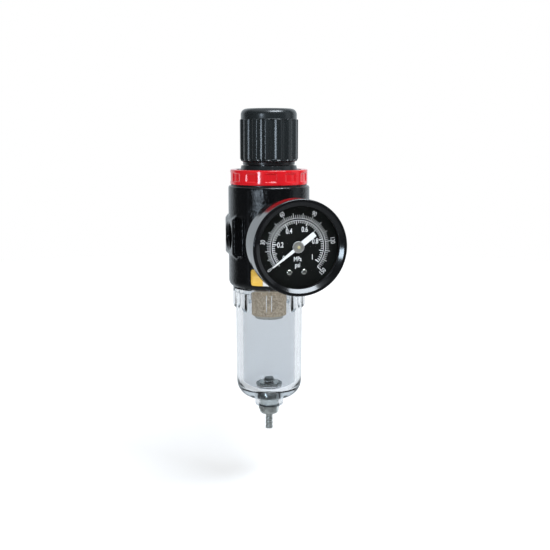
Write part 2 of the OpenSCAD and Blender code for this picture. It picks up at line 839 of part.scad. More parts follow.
module bowl() {
    low_r = bowl_r - bowl_draft;
    groove_r = bowl_neck_r - 2 * bowl_ring_r + 0.04;
    groove_h = 2 * bowl_ring_r + 0.4;
    color("#cfe0e6", 0.45)
        difference() {
            union() {
                lathe(concat(
                    [[0, boss_z], [boss_r - 0.8, boss_z], [boss_r, boss_z + 0.8], [boss_r, bowl_foot_z + 0.6]],
                    arc(low_r - bowl_round, bowl_foot_z + bowl_round + 0.6, bowl_round, -90, 0),
                    [
                        [bowl_r, collar_foot_z], [bowl_collar_r, collar_foot_z],
                        [bowl_collar_r, shoulder_z - 0.6], [bowl_collar_r - 0.6, shoulder_z],
                        [bowl_neck_r, shoulder_z], [bowl_neck_r, bowl_top_z], [0, bowl_top_z]
                    ]
                ));
                rotate(bowl_clock - 90)
                    around(grip_ribs)
                        grip_rib();
            }
            lathe(concat(
                [[0, bowl_floor_z], [drain_nut_r + 0.6, bowl_floor_z]],
                arc(bowl_floor_r - bowl_inner_round, bowl_floor_z + bowl_inner_round, bowl_inner_round, -60, 0),
                [[bowl_bore_r, bowl_top_z + cut], [0, bowl_top_z + cut]]
            ));
            rod(drain_r + run, boss_z - cut, bowl_floor_z + cut);
            tube(bowl_neck_r + cut, groove_r, bowl_ring_z - groove_h / 2, bowl_ring_z + groove_h / 2);
        }
}

module bowl_o_ring() color("#202022") {
    o_ring(bowl_neck_r - bowl_ring_r + 0.06, bowl_ring_r, bowl_ring_z);
}

module drain_body() color("#b9bcc0") {
    difference() {
        union() {
            rod(drain_r, drain_hex_top_z, drain_top_z);
            intersection() {
                rod(drain_hex_r, drain_hex_z, drain_hex_top_z, $fn = 6);
                lathe([
                    [0, drain_hex_z], [drain_hex_foot_r, drain_hex_z],
                    [drain_hex_r + seat, drain_hex_top_z - 0.8], [drain_hex_r + seat, drain_hex_top_z + cut],
                    [0, drain_hex_top_z + cut]
                ]);
            }
        }
        rod(drain_bore_r, drain_hex_z - cut, drain_top_z + cut);
        rod(drain_pocket_r, drain_hex_z - cut, drain_pocket_top_z);
    }
}

module drain_gasket() color("#2b2b2e") {
    tube(drain_nut_r - 0.3, drain_r + run, gasket_z, gasket_z + gasket_t);
}

module drain_nut() color("#c4c6c9") {
    tube(drain_nut_r, drain_r + run, drain_nut_z, drain_nut_z + drain_nut_t);
}

module drain_stem() color("#b0b3b7") {
    barb_foot_h = 0.9;
    difference() {
        union() {
            rod(drain_stem_r, drain_hex_z, drain_head_z + drain_head_h / 2);
            rod(stem_collar_r, stem_collar_z, stem_collar_z + stem_collar_t);
            rod(barb_r, barb_tip_z, drain_hex_z - barb_neck);
            rod(drain_stem_r, barb_tip_z + cut, drain_hex_z + cut);
        }
        for (i = [1 : barb_rings])
            lathe([
                [barb_r + cut, barb_tip_z + barb_pitch * i - barb_foot_h],
                [barb_r, barb_tip_z + barb_pitch * i - barb_foot_h],
                [barb_groove_r, barb_tip_z + barb_pitch * i],
                [barb_r + cut, barb_tip_z + barb_pitch * i]
            ]);
        rod(barb_bore_r, barb_tip_z - cut, drain_hex_z);
    }
}

module drain_head() color("#c4c6c9") {
    slot_w = 0.8;
    slot_depth = 0.6;
    lean = 0.5;
    difference() {
        lathe([
            [0, drain_head_z], [drain_head_r, drain_head_z],
            [drain_head_r - lean, drain_head_z + drain_head_h], [0, drain_head_z + drain_head_h]
        ]);
        rod(drain_stem_r, drain_head_z - cut, drain_head_z + drain_head_h / 2);
        translate([0, 0, drain_head_z + drain_head_h])
            cube([2 * drain_head_r + cut, slot_w, 2 * slot_depth], center = true);
    }
}

module drain_seal() color("#2b2b2e") {
    tube(drain_head_r - 0.5, drain_stem_r, drain_seal_z, drain_head_z);
}

module drain_spring() color("#c8ccd0") {
    coil(
        coil_path(
            drain_spring_mid_r, stem_collar_z + stem_collar_t + seat, drain_pocket_top_z - seat,
            drain_spring_wire, 5
        ),
        drain_spring_wire
    );
}

module rear_plug() color("#2e2f32") {
    socket_flats = 5;
    socket_depth = 4.5;
    rotate(180)
        gauge_axis()
            difference() {
                rod(socket_thread_r, socket_thread_back + 1.5 + gauge_port_r, gauge_pad_face - 0.4);
                hexagon(socket_flats, gauge_pad_face - socket_depth, gauge_pad_face + cut);
            }
}

module gauge_socket() color("#b5943f") {
    gauge_axis()
        difference() {
            union() {
                rod(socket_thread_r, socket_thread_back + 0.5, socket_hex_back);
                rod(socket_hex_r, socket_hex_back, socket_hex_front, $fn = 6);
                rod(socket_neck_r, socket_hex_front, case_back + case_wall);
                translate([-socket_block_w / 2, -socket_block_w / 2, case_back + case_wall])
                    cube([socket_block_w, socket_block_w, back_plate - case_back - case_wall]);
                rotate(tube_root_angle)
                    translate([0, -socket_arm_w / 2, tube_back])
                        cube([socket_arm_len, socket_arm_w, tube_w]);
            }
            rod(socket_bore_r, socket_thread_back, tube_back + tube_w / 2);
        }
}

module gauge_case() color("#232427") {
    inner_r = case_r - case_wall;
    gauge_axis()
        lathe(concat(
            [[socket_neck_r + run, case_back]],
            arc(case_r - case_round, case_back + case_round, case_round, -90, 0),
            [[case_r, case_front], [inner_r, case_front]],
            arc(case_r - case_round, case_back + case_round, case_round - case_wall, 0, -90),
            [[socket_neck_r + run, case_back + case_wall]]
        ));
}

module gauge_bezel() color("#18191b") {
    gauge_axis()
        lathe(concat(
            [[case_r + run, bezel_back], [bezel_r, bezel_back]],
            arc(bezel_r - bezel_round, gauge_reach - bezel_round, bezel_round, 0, 90),
            [[sight_r, lip_front], [sight_r, lip_back], [case_r + run, lip_back]]
        ));
}

module gauge_window() color("#e8eef0", 0.3) {
    gauge_axis()
        rod(case_r - 0.1, window_back, window_back + window_t);
}

module window_gasket() color("#202022") {
    gauge_axis()
        tube(case_r - 0.1, case_r - case_wall - 0.5, window_back - gasket_ring_t, window_back);
}

module gauge_dial() color("#161718") {
    gauge_axis()
        difference() {
            rod(dial_r, dial_back, dial_front);
            rod(arbor_r + 0.5, dial_back - cut, dial_front + cut);
            for (side = [-1, 1])
                translate([dial_screw_mid + side * dial_screw_x, dial_screw_y, 0])
                    rod(dial_screw_shank_r + run, dial_back - cut, dial_front + cut);
        }
}

// Two screws that hold the dial, and the pin that the pointer rests against
module dial_screws() color("#c9c6b8") {
    slot_w = 0.35;
    gauge_axis() {
        translate(polar(stop_pin_at, stop_pin_angle))
            rod(stop_pin_r, dial_front, dial_front + stop_pin_h);
        for (side = [-1, 1])
            translate([dial_screw_mid + side * dial_screw_x, dial_screw_y, 0])
                difference() {
                    union() {
                        rod(dial_screw_shank_r, front_plate + movement_plate_t, dial_front);
                        rod(dial_screw_r, dial_front, dial_front + dial_screw_h);
                    }
                    translate([0, 0, dial_front + dial_screw_h])
                        cube([3 * dial_screw_r, slot_w, dial_screw_h], center = true);
                }
    }
}

module movement_plate(back) {
    translate([-movement_x, movement_low, back])
        cube([2 * movement_x, movement_high - movement_low, movement_plate_t]);
}

module movement_plates() color("#b79a4a") {
    gauge_axis()
        difference() {
            union() {
                movement_plate(back_plate);
                movement_plate(front_plate);
                for (at = pillar_at)
                    translate(at)
                        rod(pillar_r, back_plate, front_plate + movement_plate_t);
                for (side = [-1, 1])
                    translate([dial_screw_mid + side * dial_screw_x, dial_screw_y, 0])
                        rod(movement_post_r, front_plate, dial_back);
            }
            rod(arbor_r + run, back_plate - cut, dial_front);
            translate([0, sector_pivot_y, 0])
                rod(sector_arbor_r + run, back_plate - cut, front_plate + movement_plate_t + cut);
            for (side = [-1, 1])
                translate([dial_screw_mid + side * dial_screw_x, dial_screw_y, 0])
                    rod(dial_screw_shank_r + run, front_plate + movement_plate_t, dial_front);
        }
}

// Flattened tube bent in a C, closed by a tip that carries the link's pin
module bourdon_tube() color("#c09a52") {
    span = tube_root_angle - tube_tip_angle + tip_angle_span / 2;
    gauge_axis() {
        rotate(tube_root_angle - span)
            difference() {
                rotate_extrude(angle = span)
                    translate([tube_r - tube_t / 2, tube_back])
                        square([tube_t, tube_w]);
                rotate(1.5 * tip_angle_span)
                    rotate_extrude(angle = span)
                        translate([tube_r - tube_t / 2 + tube_wall, tube_back + tube_wall])
                            square([tube_t - 2 * tube_wall, tube_w - 2 * tube_wall]);
            }
        translate([tip_x, tip_y, 0])
            rod(link_pin_r, tube_back + tube_w / 2, link_back + link_t + 0.4);
    }
}

module tube_link() color("#c2a24c") {
    length = norm([tip_x - tail_x, tip_y - tail_y]);
    turn = atan2(tip_y - tail_y, tip_x - tail_x);
    gauge_axis()
        translate([tail_x, tail_y, 0])
            rotate(turn)
                difference() {
                    union() {
                        rod(link_eye_r, link_back, link_back + link_t);
                        translate([length, 0, 0])
                            rod(link_eye_r + 0.3, link_back, link_back + link_t);
                        translate([0, -0.6, link_back])
                            cube([length, 1.2, link_t]);
                    }
                    rod(link_pin_r + run, link_back - cut, link_back + link_t + cut);
                    translate([length, 0, 0])
                        rod(link_tip_hole_r, link_back - cut, link_back + link_t + cut);
                }
}

module sector_gear() color("#c2a24c") {
    root_r = sector_pitch_r - dedendum;
    teeth = pinion_teeth * gear_ratio;
    from = 90 + sector_pitch_angle * (sector_first + 0.1);
    to = 90 + sector_pitch_angle * (sector_last + 0.9);
    gauge_axis()
        translate([0, sector_pivot_y, 0]) {
            translate([0, 0, sector_back])
                linear_extrude(sector_t) {
                    polygon(concat([[0, 0]], arc(0, 0, root_r, from, to, 12)));
                    for (i = [sector_first : sector_last])
                        polygon(gear_tooth(sector_pitch_r, teeth, 90 + sector_pitch_angle * (i + 0.5)));
                    circle(1.6);
                    rotate(tail_angle)
                        translate([0, -0.8])
                            square([tail_len, 1.6]);
                    translate(polar(tail_len, tail_angle))
                        circle(link_eye_r);
                }
            rod(sector_arbor_r, back_plate, front_plate + movement_plate_t);
            translate(polar(tail_len, tail_angle))
                rod(link_pin_r, sector_back, link_back + link_t + 0.4);
        }
}

module pointer_arbor() color("#c8a850") {
    gauge_axis() {
        rod(arbor_r, back_plate, pointer_back + pointer_t);
        translate([0, 0, sector_back - (pinion_t - sector_t) / 2])
            linear_extrude(pinion_t) {
                circle(pinion_pitch_r - dedendum);
                for (i = [0 : pinion_teeth - 1])
                    polygon(gear_tooth(pinion_pitch_r, pinion_teeth, 360 * i / pinion_teeth - 90));
            }
    }
}

module pointer() color("#e8e8e6") {
    gauge_axis()
        rotate(pointer_rest)
            translate([0, 0, pointer_back])
                linear_extrude(pointer_t)
                    difference() {
                        union() {
                            circle(pointer_hub_r);
                            polygon([
                                [0, -pointer_root_w / 2], [pointer_len, -pointer_tip_w / 2],
                                [pointer_len, pointer_tip_w / 2], [0, pointer_root_w / 2]
                            ]);
                            translate([-pointer_tail, -pointer_tail_w / 2])
                                square([pointer_tail, pointer_tail_w]);
                        }
                        circle(arbor_r);
                    }
}

module pointer_cap() color("#b9b5a2") {
    gauge_axis()
        lathe([
            [0, pointer_back + pointer_t], [pointer_cap_r, pointer_back + pointer_t],
            [pointer_cap_r - 0.3, pointer_back + pointer_t + pointer_cap_h],
            [0, pointer_back + pointer_t + pointer_cap_h]
        ]);
}

echo(least_spring_gap = coil_gap(adjusting_path, spring_wire));

place() body();
place() valve_seat();
place() valve_stem();
place() valve_disc();
place() valve_spring();
place() valve_guide();
place() guide_o_ring();
place() deflector();
place() filter_element();
place() element_nut();
place() bonnet();
place() ring_nut();
place() knob();
place() adjusting_screw();
place() thrust_washer();
place() spring_nut();
place() adjusting_spring();
place() spring_plate();
place() diaphragm();
place() relief_seat();
place() bowl();
place() bowl_o_ring();
place() drain_body();
place() drain_gasket();
place() drain_nut();
place() drain_stem();
place() drain_head();
place() drain_seal();
place() drain_spring();
place() rear_plug();
place() gauge_socket();
place() gauge_case();
place() gauge_bezel();
place() gauge_window();
place() window_gasket();
place() gauge_dial();
place() dial_screws();
place() movement_plates();
place() bourdon_tube();
place() tube_link();
place() sector_gear();
place() pointer_arbor();
place() pointer();
place() pointer_cap();
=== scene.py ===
"""Looks of a compressed-air filter-regulator: cast body, knob, ring nut, dial gauge, clear bowl and drain."""

import math

import bmesh
import bpy
from mathutils import Matrix, Vector


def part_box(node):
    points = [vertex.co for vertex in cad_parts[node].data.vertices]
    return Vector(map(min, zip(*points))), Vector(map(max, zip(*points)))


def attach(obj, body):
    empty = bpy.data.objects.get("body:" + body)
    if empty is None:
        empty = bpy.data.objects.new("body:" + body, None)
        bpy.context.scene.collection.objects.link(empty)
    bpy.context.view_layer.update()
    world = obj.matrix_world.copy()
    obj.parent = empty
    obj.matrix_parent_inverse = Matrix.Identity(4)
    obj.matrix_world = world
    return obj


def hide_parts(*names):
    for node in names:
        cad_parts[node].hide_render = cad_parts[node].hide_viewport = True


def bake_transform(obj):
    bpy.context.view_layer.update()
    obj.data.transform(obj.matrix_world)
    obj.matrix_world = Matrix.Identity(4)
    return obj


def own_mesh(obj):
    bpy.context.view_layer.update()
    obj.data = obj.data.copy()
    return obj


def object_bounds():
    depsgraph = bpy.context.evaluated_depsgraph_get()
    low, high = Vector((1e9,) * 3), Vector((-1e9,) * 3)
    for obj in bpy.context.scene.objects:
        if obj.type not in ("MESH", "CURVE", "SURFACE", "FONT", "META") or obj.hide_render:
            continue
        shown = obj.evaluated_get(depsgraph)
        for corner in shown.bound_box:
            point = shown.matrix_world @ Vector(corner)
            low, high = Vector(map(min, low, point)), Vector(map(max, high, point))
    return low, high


bl_info = {
    "name": "Air filter-regulator looks",
    "version": (1, 0, 0),
    "blender": (4, 5, 0),
    "location": "View3D > Sidebar > Regulator",
    "description": "Builds the visible pieces and finishes of a filter-regulator round its solid model",
    "category": "Object",
}

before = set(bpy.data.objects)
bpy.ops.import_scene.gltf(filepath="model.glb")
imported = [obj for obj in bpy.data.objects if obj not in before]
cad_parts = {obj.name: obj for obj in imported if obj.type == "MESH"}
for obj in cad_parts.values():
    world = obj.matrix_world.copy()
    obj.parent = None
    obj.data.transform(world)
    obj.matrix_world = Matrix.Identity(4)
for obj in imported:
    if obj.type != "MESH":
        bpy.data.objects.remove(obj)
CAD_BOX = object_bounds()
MM = 0.001

# Points of a solid's mesh that lie nearer to each other than this are one point
SAME_POINT = 1e-6

# Edges that turn by more than this are bevelled
BEVEL_ANGLE = math.radians(38)

# The ends of a box
LOWER, UPPER = 0, 1

# The photograph's view: turned to the right of straight ahead, and down
VIEW_ACROSS = math.radians(15.45)
VIEW_DOWN = math.radians(9.46)

# The main axis runs up through the middle of the body; the gauge's own axis runs out of its front
AXIS_X = sum(corner.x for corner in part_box("bonnet")) / 2
MAIN_AXIS = Matrix.Translation((AXIS_X, 0, 0))
GAUGE_AXIS = MAIN_AXIS @ Matrix.Rotation(math.pi / 2, 4, "X")

# How far the bowl comes down when it is taken off; the floor leaves room for it
BOWL_DROP = 34 * MM


# Sizes and colours


def length(label, text, default_mm):
    return bpy.props.FloatProperty(
        name=label, description=text, default=default_mm * MM, min=0.0, unit="LENGTH", precision=5
    )


def level(label, text, default, unit="NONE", low=0.0):
    return bpy.props.FloatProperty(name=label, description=text, default=default, min=low, unit=unit)


def colour(label, text, default):
    return bpy.props.FloatVectorProperty(
        name=label, description=text, default=default, size=3, min=0.0, max=1.0, subtype="COLOR"
    )


class RegulatorSizes(bpy.types.PropertyGroup):
    """Sizes of the detail that the finished pieces add to the solids"""

    casting_round: length("Casting rounding", "Softness of the die-cast body's edges", 0.4)
    metal_edge: length("Metal edge", "Bevel on turned and milled metal edges", 0.12)
    knob_edge: length("Knob edge", "Rounding of the knob's rib ends and rim", 0.3)
    ring_edge: length("Ring edge", "Rounding of the ring nut's edges", 0.45)
    bowl_edge: length("Bowl edge", "Rounding of the moulded bowl's edges", 0.35)
    gauge_edge: length("Gauge edge", "Rounding of the pressed gauge case", 0.3)
    scale_line: length("Scale line", "Width of the thin lines on the dial", 0.19)
    number_height: length("Number height", "Type size of the dial's numbers", 3.3)
    sticker_height: length("Sticker height", "Height of the blank sticker on the body", 7.9)
    sticker_lift: length("Sticker thickness", "How far the sticker stands off the body", 0.06)


class RegulatorColours(bpy.types.PropertyGroup):
    """Colours of the finishes"""

    casting: colour("Casting", "Black coat on the die-cast body", (0.0030, 0.0031, 0.0036))
    moulding: colour("Moulding", "Black plastic of knob and bonnet", (0.011, 0.014, 0.015))
    ring: colour("Ring", "Red plastic of the ring nut", (0.68, 0.010, 0.016))
    gauge: colour("Gauge", "Gloss black enamel of the gauge case", (0.0040, 0.0041, 0.0046))
    dial: colour("Dial", "Matt black of the dial", (0.0065, 0.0072, 0.0066))
    print_white: colour("Print", "White of the dial's marks and pointer", (0.78, 0.79, 0.79))
    print_grey: colour("Outer print", "Greyer white of the outer scale", (0.70, 0.71, 0.71))
    bowl: colour("Bowl", "Tint of the clear bowl", (0.685, 0.71, 0.735))
    bronze: colour("Filter", "Sintered bronze of the filter", (0.49, 0.40, 0.29))
    nickel: colour("Nickel", "Plated drain fittings", (0.70, 0.73, 0.70))
    brass: colour("Brass", "Bare brass", (0.72, 0.50, 0.20))
    amber: colour("Amber", "Amber field of the sticker", (0.90, 0.52, 0.03))
    paper: colour("Paper", "White field of the sticker", (0.82, 0.82, 0.80))


class RegulatorStage(bpy.types.PropertyGroup):
    """Floor, light and camera"""

    floor: colour("Floor", "Pale floor", (0.88, 0.88, 0.88))
    sky_level: level("Sky", "Strength of the soft light from all round", 0.42)
    key_power: level("Key", "Power of the narrow soft box at the left", 0.9, "POWER")
    top_power: level("Top", "Power of the soft box above the front", 5.0, "POWER")
    fill_power: level("Fill", "Power of the weak soft box at the right", 0.36, "POWER")
    key_tint: colour("Key tint", "Colour of the narrow soft box", (0.72, 0.86, 1.0))
    lamp_tint: colour("Lamp tint", "Colour of the other soft boxes", (0.84, 0.92, 1.0))
    lens: level("Lens", "Focal length on a 36 mm wide sensor", 53.75, low=1.0)


def sizes():
    return bpy.context.scene.regulator_sizes


def colours():
    return bpy.context.scene.regulator_colours


def stage_settings():
    return bpy.context.scene.regulator_stage


# Mesh tools


def filleted(points, steps=4):
    """Profile through (radius, height) points, where a third number rounds that corner. Millimetres."""
    path = []
    for i, point in enumerate(points):
        here = Vector(point[:2])
        soft = point[2] if len(point) > 2 else 0
        if soft == 0:
            path.append(here)
            continue
        back = Vector(points[i - 1][:2]) - here
        on = Vector(points[(i + 1) % len(points)][:2]) - here
        half = back.angle(on) / 2
        reach = min(soft / math.tan(half), back.length * 0.48, on.length * 0.48)
        start = here + back.normalized() * reach
        end = here + on.normalized() * reach
        for k in range(steps + 1):
            t = k / steps
            path.append(start * (1 - t) ** 2 + here * 2 * t * (1 - t) + end * t**2)
    return path


def arc_points(x, z, r, start, end, steps):
    """Points along an arc about (x, z), between two angles in degrees."""
    spread = [math.radians(start + (end - start) * k / steps) for k in range(steps + 1)]
    return [(x + r * math.cos(a), z + r * math.sin(a)) for a in spread]


def revolve(profile, segments, shape=None, closed=True):
    """Mesh of a profile turned about the axis; shape(angle, radius, height) may change the radius."""
    mesh = bmesh.new()
    rings = []
    for radius, height in profile:
        if radius < 1e-6:
            rings.append([mesh.verts.new((0, 0, height * MM))])
            continue
        ring = []
        for k in range(segments):
            angle = 2 * math.pi * k / segments
            r = shape(angle, radius, height) if shape else radius
            ring.append(mesh.verts.new((r * math.cos(angle) * MM, r * math.sin(angle) * MM, height * MM)))
        rings.append(ring)
    pairs = list(zip(rings, rings[1:]))
    if closed and len(rings[0]) > 1 and len(rings[-1]) > 1:
        pairs.append((rings[-1], rings[0]))
    for low, high in pairs:
        for k in range(segments):
            n = (k + 1) % segments
            corners = [low[k % len(low)], low[n % len(low)], high[n % len(high)], high[k % len(high)]]
            kept = [v for i, v in enumerate(corners) if v not in corners[:i]]
            if len(kept) > 2:
                mesh.faces.new(kept)
    bmesh.ops.recalc_face_normals(mesh, faces=mesh.faces)
    return mesh


def skin_rows(mesh, rows):
    """Closes four equal rows of points into a bar, with a face at each end."""
    for near, far in zip(rows, rows[1:] + rows[:1]):
        for k in range(len(near) - 1):
            mesh.faces.new((near[k], near[k + 1], far[k + 1], far[k]))
    for k in (0, -1):
        mesh.faces.new([row[k] for row in rows])


def eased(t):
    """0 up to 1 with soft ends, for a share that may run past either."""
    t = min(1, max(0, t))
    return t * t * (3 - 2 * t)


def trapezoid(angle, count, clock, share, ease):
    """1 in the middle of each of count equal sectors, 0 outside share of it, with eased flanks."""
    turn = (angle - clock) * count / (2 * math.pi)
    off = abs(turn - round(turn))
    return eased((share / 2 + ease - off) / (2 * ease))


def mesh_data(name, mesh):
    """Mesh data from a bmesh, which is freed."""
    data = bpy.data.meshes.new(name)
    mesh.to_mesh(data)
    mesh.free()
    return data


def merge(target, mesh, place=Matrix()):
    """Moves a bmesh into another one, at a place."""
    part = mesh_data("part", mesh)
    part.transform(place)
    target.from_mesh(part)
    bpy.data.meshes.remove(part)


def add_object(name, data):
    """Puts a mesh, text, light or camera in the scene."""
    item = bpy.data.objects.new(name, data)
    bpy.context.scene.collection.objects.link(item)
    return item


def weld(piece):
    """Joins the points that a solid's mesh repeats, so that its edges can be softened."""
    piece.modifiers.new("weld", "WELD").merge_threshold = SAME_POINT


def even_normals(piece, mode):
    """Shades a piece by its larger faces, which keeps them flat beside rounded edges."""
    normals = piece.modifiers.new("even_normals", "WEIGHTED_NORMAL")
    normals.mode = mode
    normals.keep_sharp = False


def add_piece(name, mesh, material, body, place, replaced=None, weighted=True):
    """Makes an object from a bmesh, in a finish, riding on a body if one is named."""
    data = mesh_data(name, mesh)
    data.transform(place)
    data.polygons.foreach_set("use_smooth", [True] * len(data.polygons))
    data.materials.append(material)
    piece = add_object(name, data)
    if weighted:
        even_normals(piece, "FACE_AREA_WITH_ANGLE")
    if body:
        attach(piece, body)
    if replaced:
        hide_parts(replaced)
    return piece


def dress(node, material, edge=0.0, steps=2):
    """Gives a solid its finish and, if wanted, bevelled edges."""
    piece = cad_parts[node]
    piece.data.materials.clear()
    piece.data.materials.append(material)
    if edge:
        weld(piece)
        bevel = piece.modifiers.new("edges", "BEVEL")
        bevel.width = edge
        bevel.segments = steps
        bevel.limit_method = "ANGLE"
        bevel.angle_limit = BEVEL_ANGLE
        even_normals(piece, "FACE_AREA")
    return piece


def sprung(node, body):
    """A smoothed copy of a coil in spring steel, riding on a body in place of the solid."""
    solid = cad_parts[node]
    data = solid.data.copy()
    data.name = node + "_visual"
    data.materials.clear()
    data.materials.append(finish("spring_steel"))
    coil = add_object(data.name, data)
    coil.matrix_world = solid.matrix_world.copy()
    weld(coil)
    smooth = coil.modifiers.new("round", "SUBSURF")
    smooth.levels = 2
    smooth.render_levels = 2
    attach(coil, body)
    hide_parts(node)
    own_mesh(coil)


# Finishes


def rgba(shade, share=1):
    """A colour, or a share of its light, with full cover."""
    return (*[min(1, c * share) for c in shade], 1)


def set_inputs(node, values):
    for label, value in values.items():
        node.inputs[label].default_value = value


def add_node(tree, kind, values=(), **settings):
    """Adds a shader node with its own settings, and then values for some of its inputs."""
    node = tree.nodes.new("ShaderNode" + kind)
    for label, value in settings.items():
        setattr(node, label, value)
    set_inputs(node, dict(values))
    return node


def join(tree, *wires):
    """Joins an output to an input, for each (node, output, node, input)."""
    for start, out, end, into in wires:
        tree.links.new(start.outputs[out], end.inputs[into])


def new_material(name):
    """A material with its node tree and its shader."""
    material = bpy.data.materials.new(name)
    material.use_nodes = True
    return material, material.node_tree, material.node_tree.nodes["Principled BSDF"]


def new_group(name, inputs, outputs):
    """A node group with its entry and exit."""
    group = bpy.data.node_groups.new(name, "ShaderNodeTree")
    for label, kind, default in inputs:
        socket = group.interface.new_socket(label, in_out="INPUT", socket_type=kind)
        socket.default_value = default
    for label, kind in outputs:
        group.interface.new_socket(label, in_out="OUTPUT", socket_type=kind)
    return group, group.nodes.new("NodeGroupInput"), group.nodes.new("NodeGroupOutput")


def grain_group():
    """Fine moulded or cast grain: a height for bump and a mask for roughness."""
    name = "surface_grain"
    if name in bpy.data.node_groups:
        return bpy.data.node_groups[name]
    group, entry, leave = new_group(
        name,
        [("Scale", "NodeSocketFloat", 1500.0), ("Mottle", "NodeSocketFloat", 150.0)],
        [("Height", "NodeSocketFloat"), ("Mask", "NodeSocketFloat")],
    )
    place = add_node(group, "TexCoord")
    fine = add_node(group, "TexNoise", {"Detail": 3.0, "Roughness": 0.55})
    broad = add_node(group, "TexNoise", {"Detail": 4.0})
    join(
        group,
        (place, "Object", fine, "Vector"),
        (place, "Object", broad, "Vector"),
        (entry, "Scale", fine, "Scale"),
        (entry, "Mottle", broad, "Scale"),
        (fine, "Fac", leave, "Height"),
        (broad, "Fac", leave, "Mask"),
    )
    return group


def wear_group():
    """Colour that pales along worn edges, most where the mask is high."""
    name = "edge_wear"
    if name in bpy.data.node_groups:
        return bpy.data.node_groups[name]
    group, entry, leave = new_group(
        name,
        [
            ("Colour", "NodeSocketColor", (0.02, 0.02, 0.02, 1)),
            ("Worn", "NodeSocketColor", (0.1, 0.1, 0.1, 1)),
            ("Amount", "NodeSocketFloat", 0.5),
            ("Mask", "NodeSocketFloat", 0.5),
        ],
        [("Colour", "NodeSocketColor")],
    )
    shape = add_node(group, "NewGeometry")
    edge = add_node(group, "MapRange", {"From Min": 0.52, "From Max": 0.62})
    rub = add_node(group, "Math", operation="MULTIPLY")
    share = add_node(group, "Math", operation="MULTIPLY")
    blend = add_node(group, "Mix", data_type="RGBA")
    join(
        group,
        (shape, "Pointiness", edge, "Value"),
        (edge, "Result", rub, 0),
        (entry, "Mask", rub, 1),
        (rub, "Value", share, 0),
        (entry, "Amount", share, 1),
        (share, "Value", blend, "Factor"),
        (entry, "Colour", blend, "A"),
        (entry, "Worn", blend, "B"),
        (blend, "Result", leave, "Colour"),
    )
    return group


def solid_finish(label, base, rough, grain, mottle, worn=None, wear=0.4, bump=0.06, depth=0.00002, vary=0.08,
                 metallic=0.0, specular=0.5, coat=0.0, coat_rough=0.1, tone=0.12, painted_glow=0.0):
    """Opaque finish: grain bump, uneven roughness, tone that varies and edges that pale with wear.

    A painted glow, the finish's own colour given off as light, stands in for the light that a clear moulding keeps off
    the piece.
    """
    if isinstance(base, str):
        base = getattr(colours(), base)
    worn = worn or [c * 1.6 + 0.01 for c in base]
    smoothest = 0.02
    material, tree, shader = new_material(label)
    set_inputs(shader, {
        "Metallic": metallic, "Specular IOR Level": specular, "Coat Weight": coat, "Coat Roughness": coat_rough,
    })
    surface = add_node(tree, "Group", {"Scale": grain, "Mottle": mottle}, node_tree=grain_group())
    edges = add_node(tree, "Group", {"Amount": wear, "Worn": rgba(worn)}, node_tree=wear_group())
    tint = add_node(tree, "Mix", {"A": rgba(base, 1 - tone), "B": rgba(base, 1 + tone)}, data_type="RGBA")
    uneven = add_node(tree, "MapRange", {"To Min": max(smoothest, rough - vary), "To Max": rough + vary})
    relief = add_node(tree, "Bump", {"Strength": bump, "Distance": depth})
    join(
        tree,
        (surface, "Mask", tint, "Factor"),
        (tint, "Result", edges, "Colour"),
        (surface, "Mask", edges, "Mask"),
        (edges, "Colour", shader, "Base Color"),
        (surface, "Mask", uneven, "Value"),
        (uneven, "Result", shader, "Roughness"),
        (surface, "Height", relief, "Height"),
        (relief, "Normal", shader, "Normal"),
    )
    # Painted light: the finish glows in its own colour, though it is no lamp
    if painted_glow:
        join(tree, (edges, "Colour", shader, "Emission Color"))
        set_inputs(shader, {"Emission Strength": painted_glow})
    return material


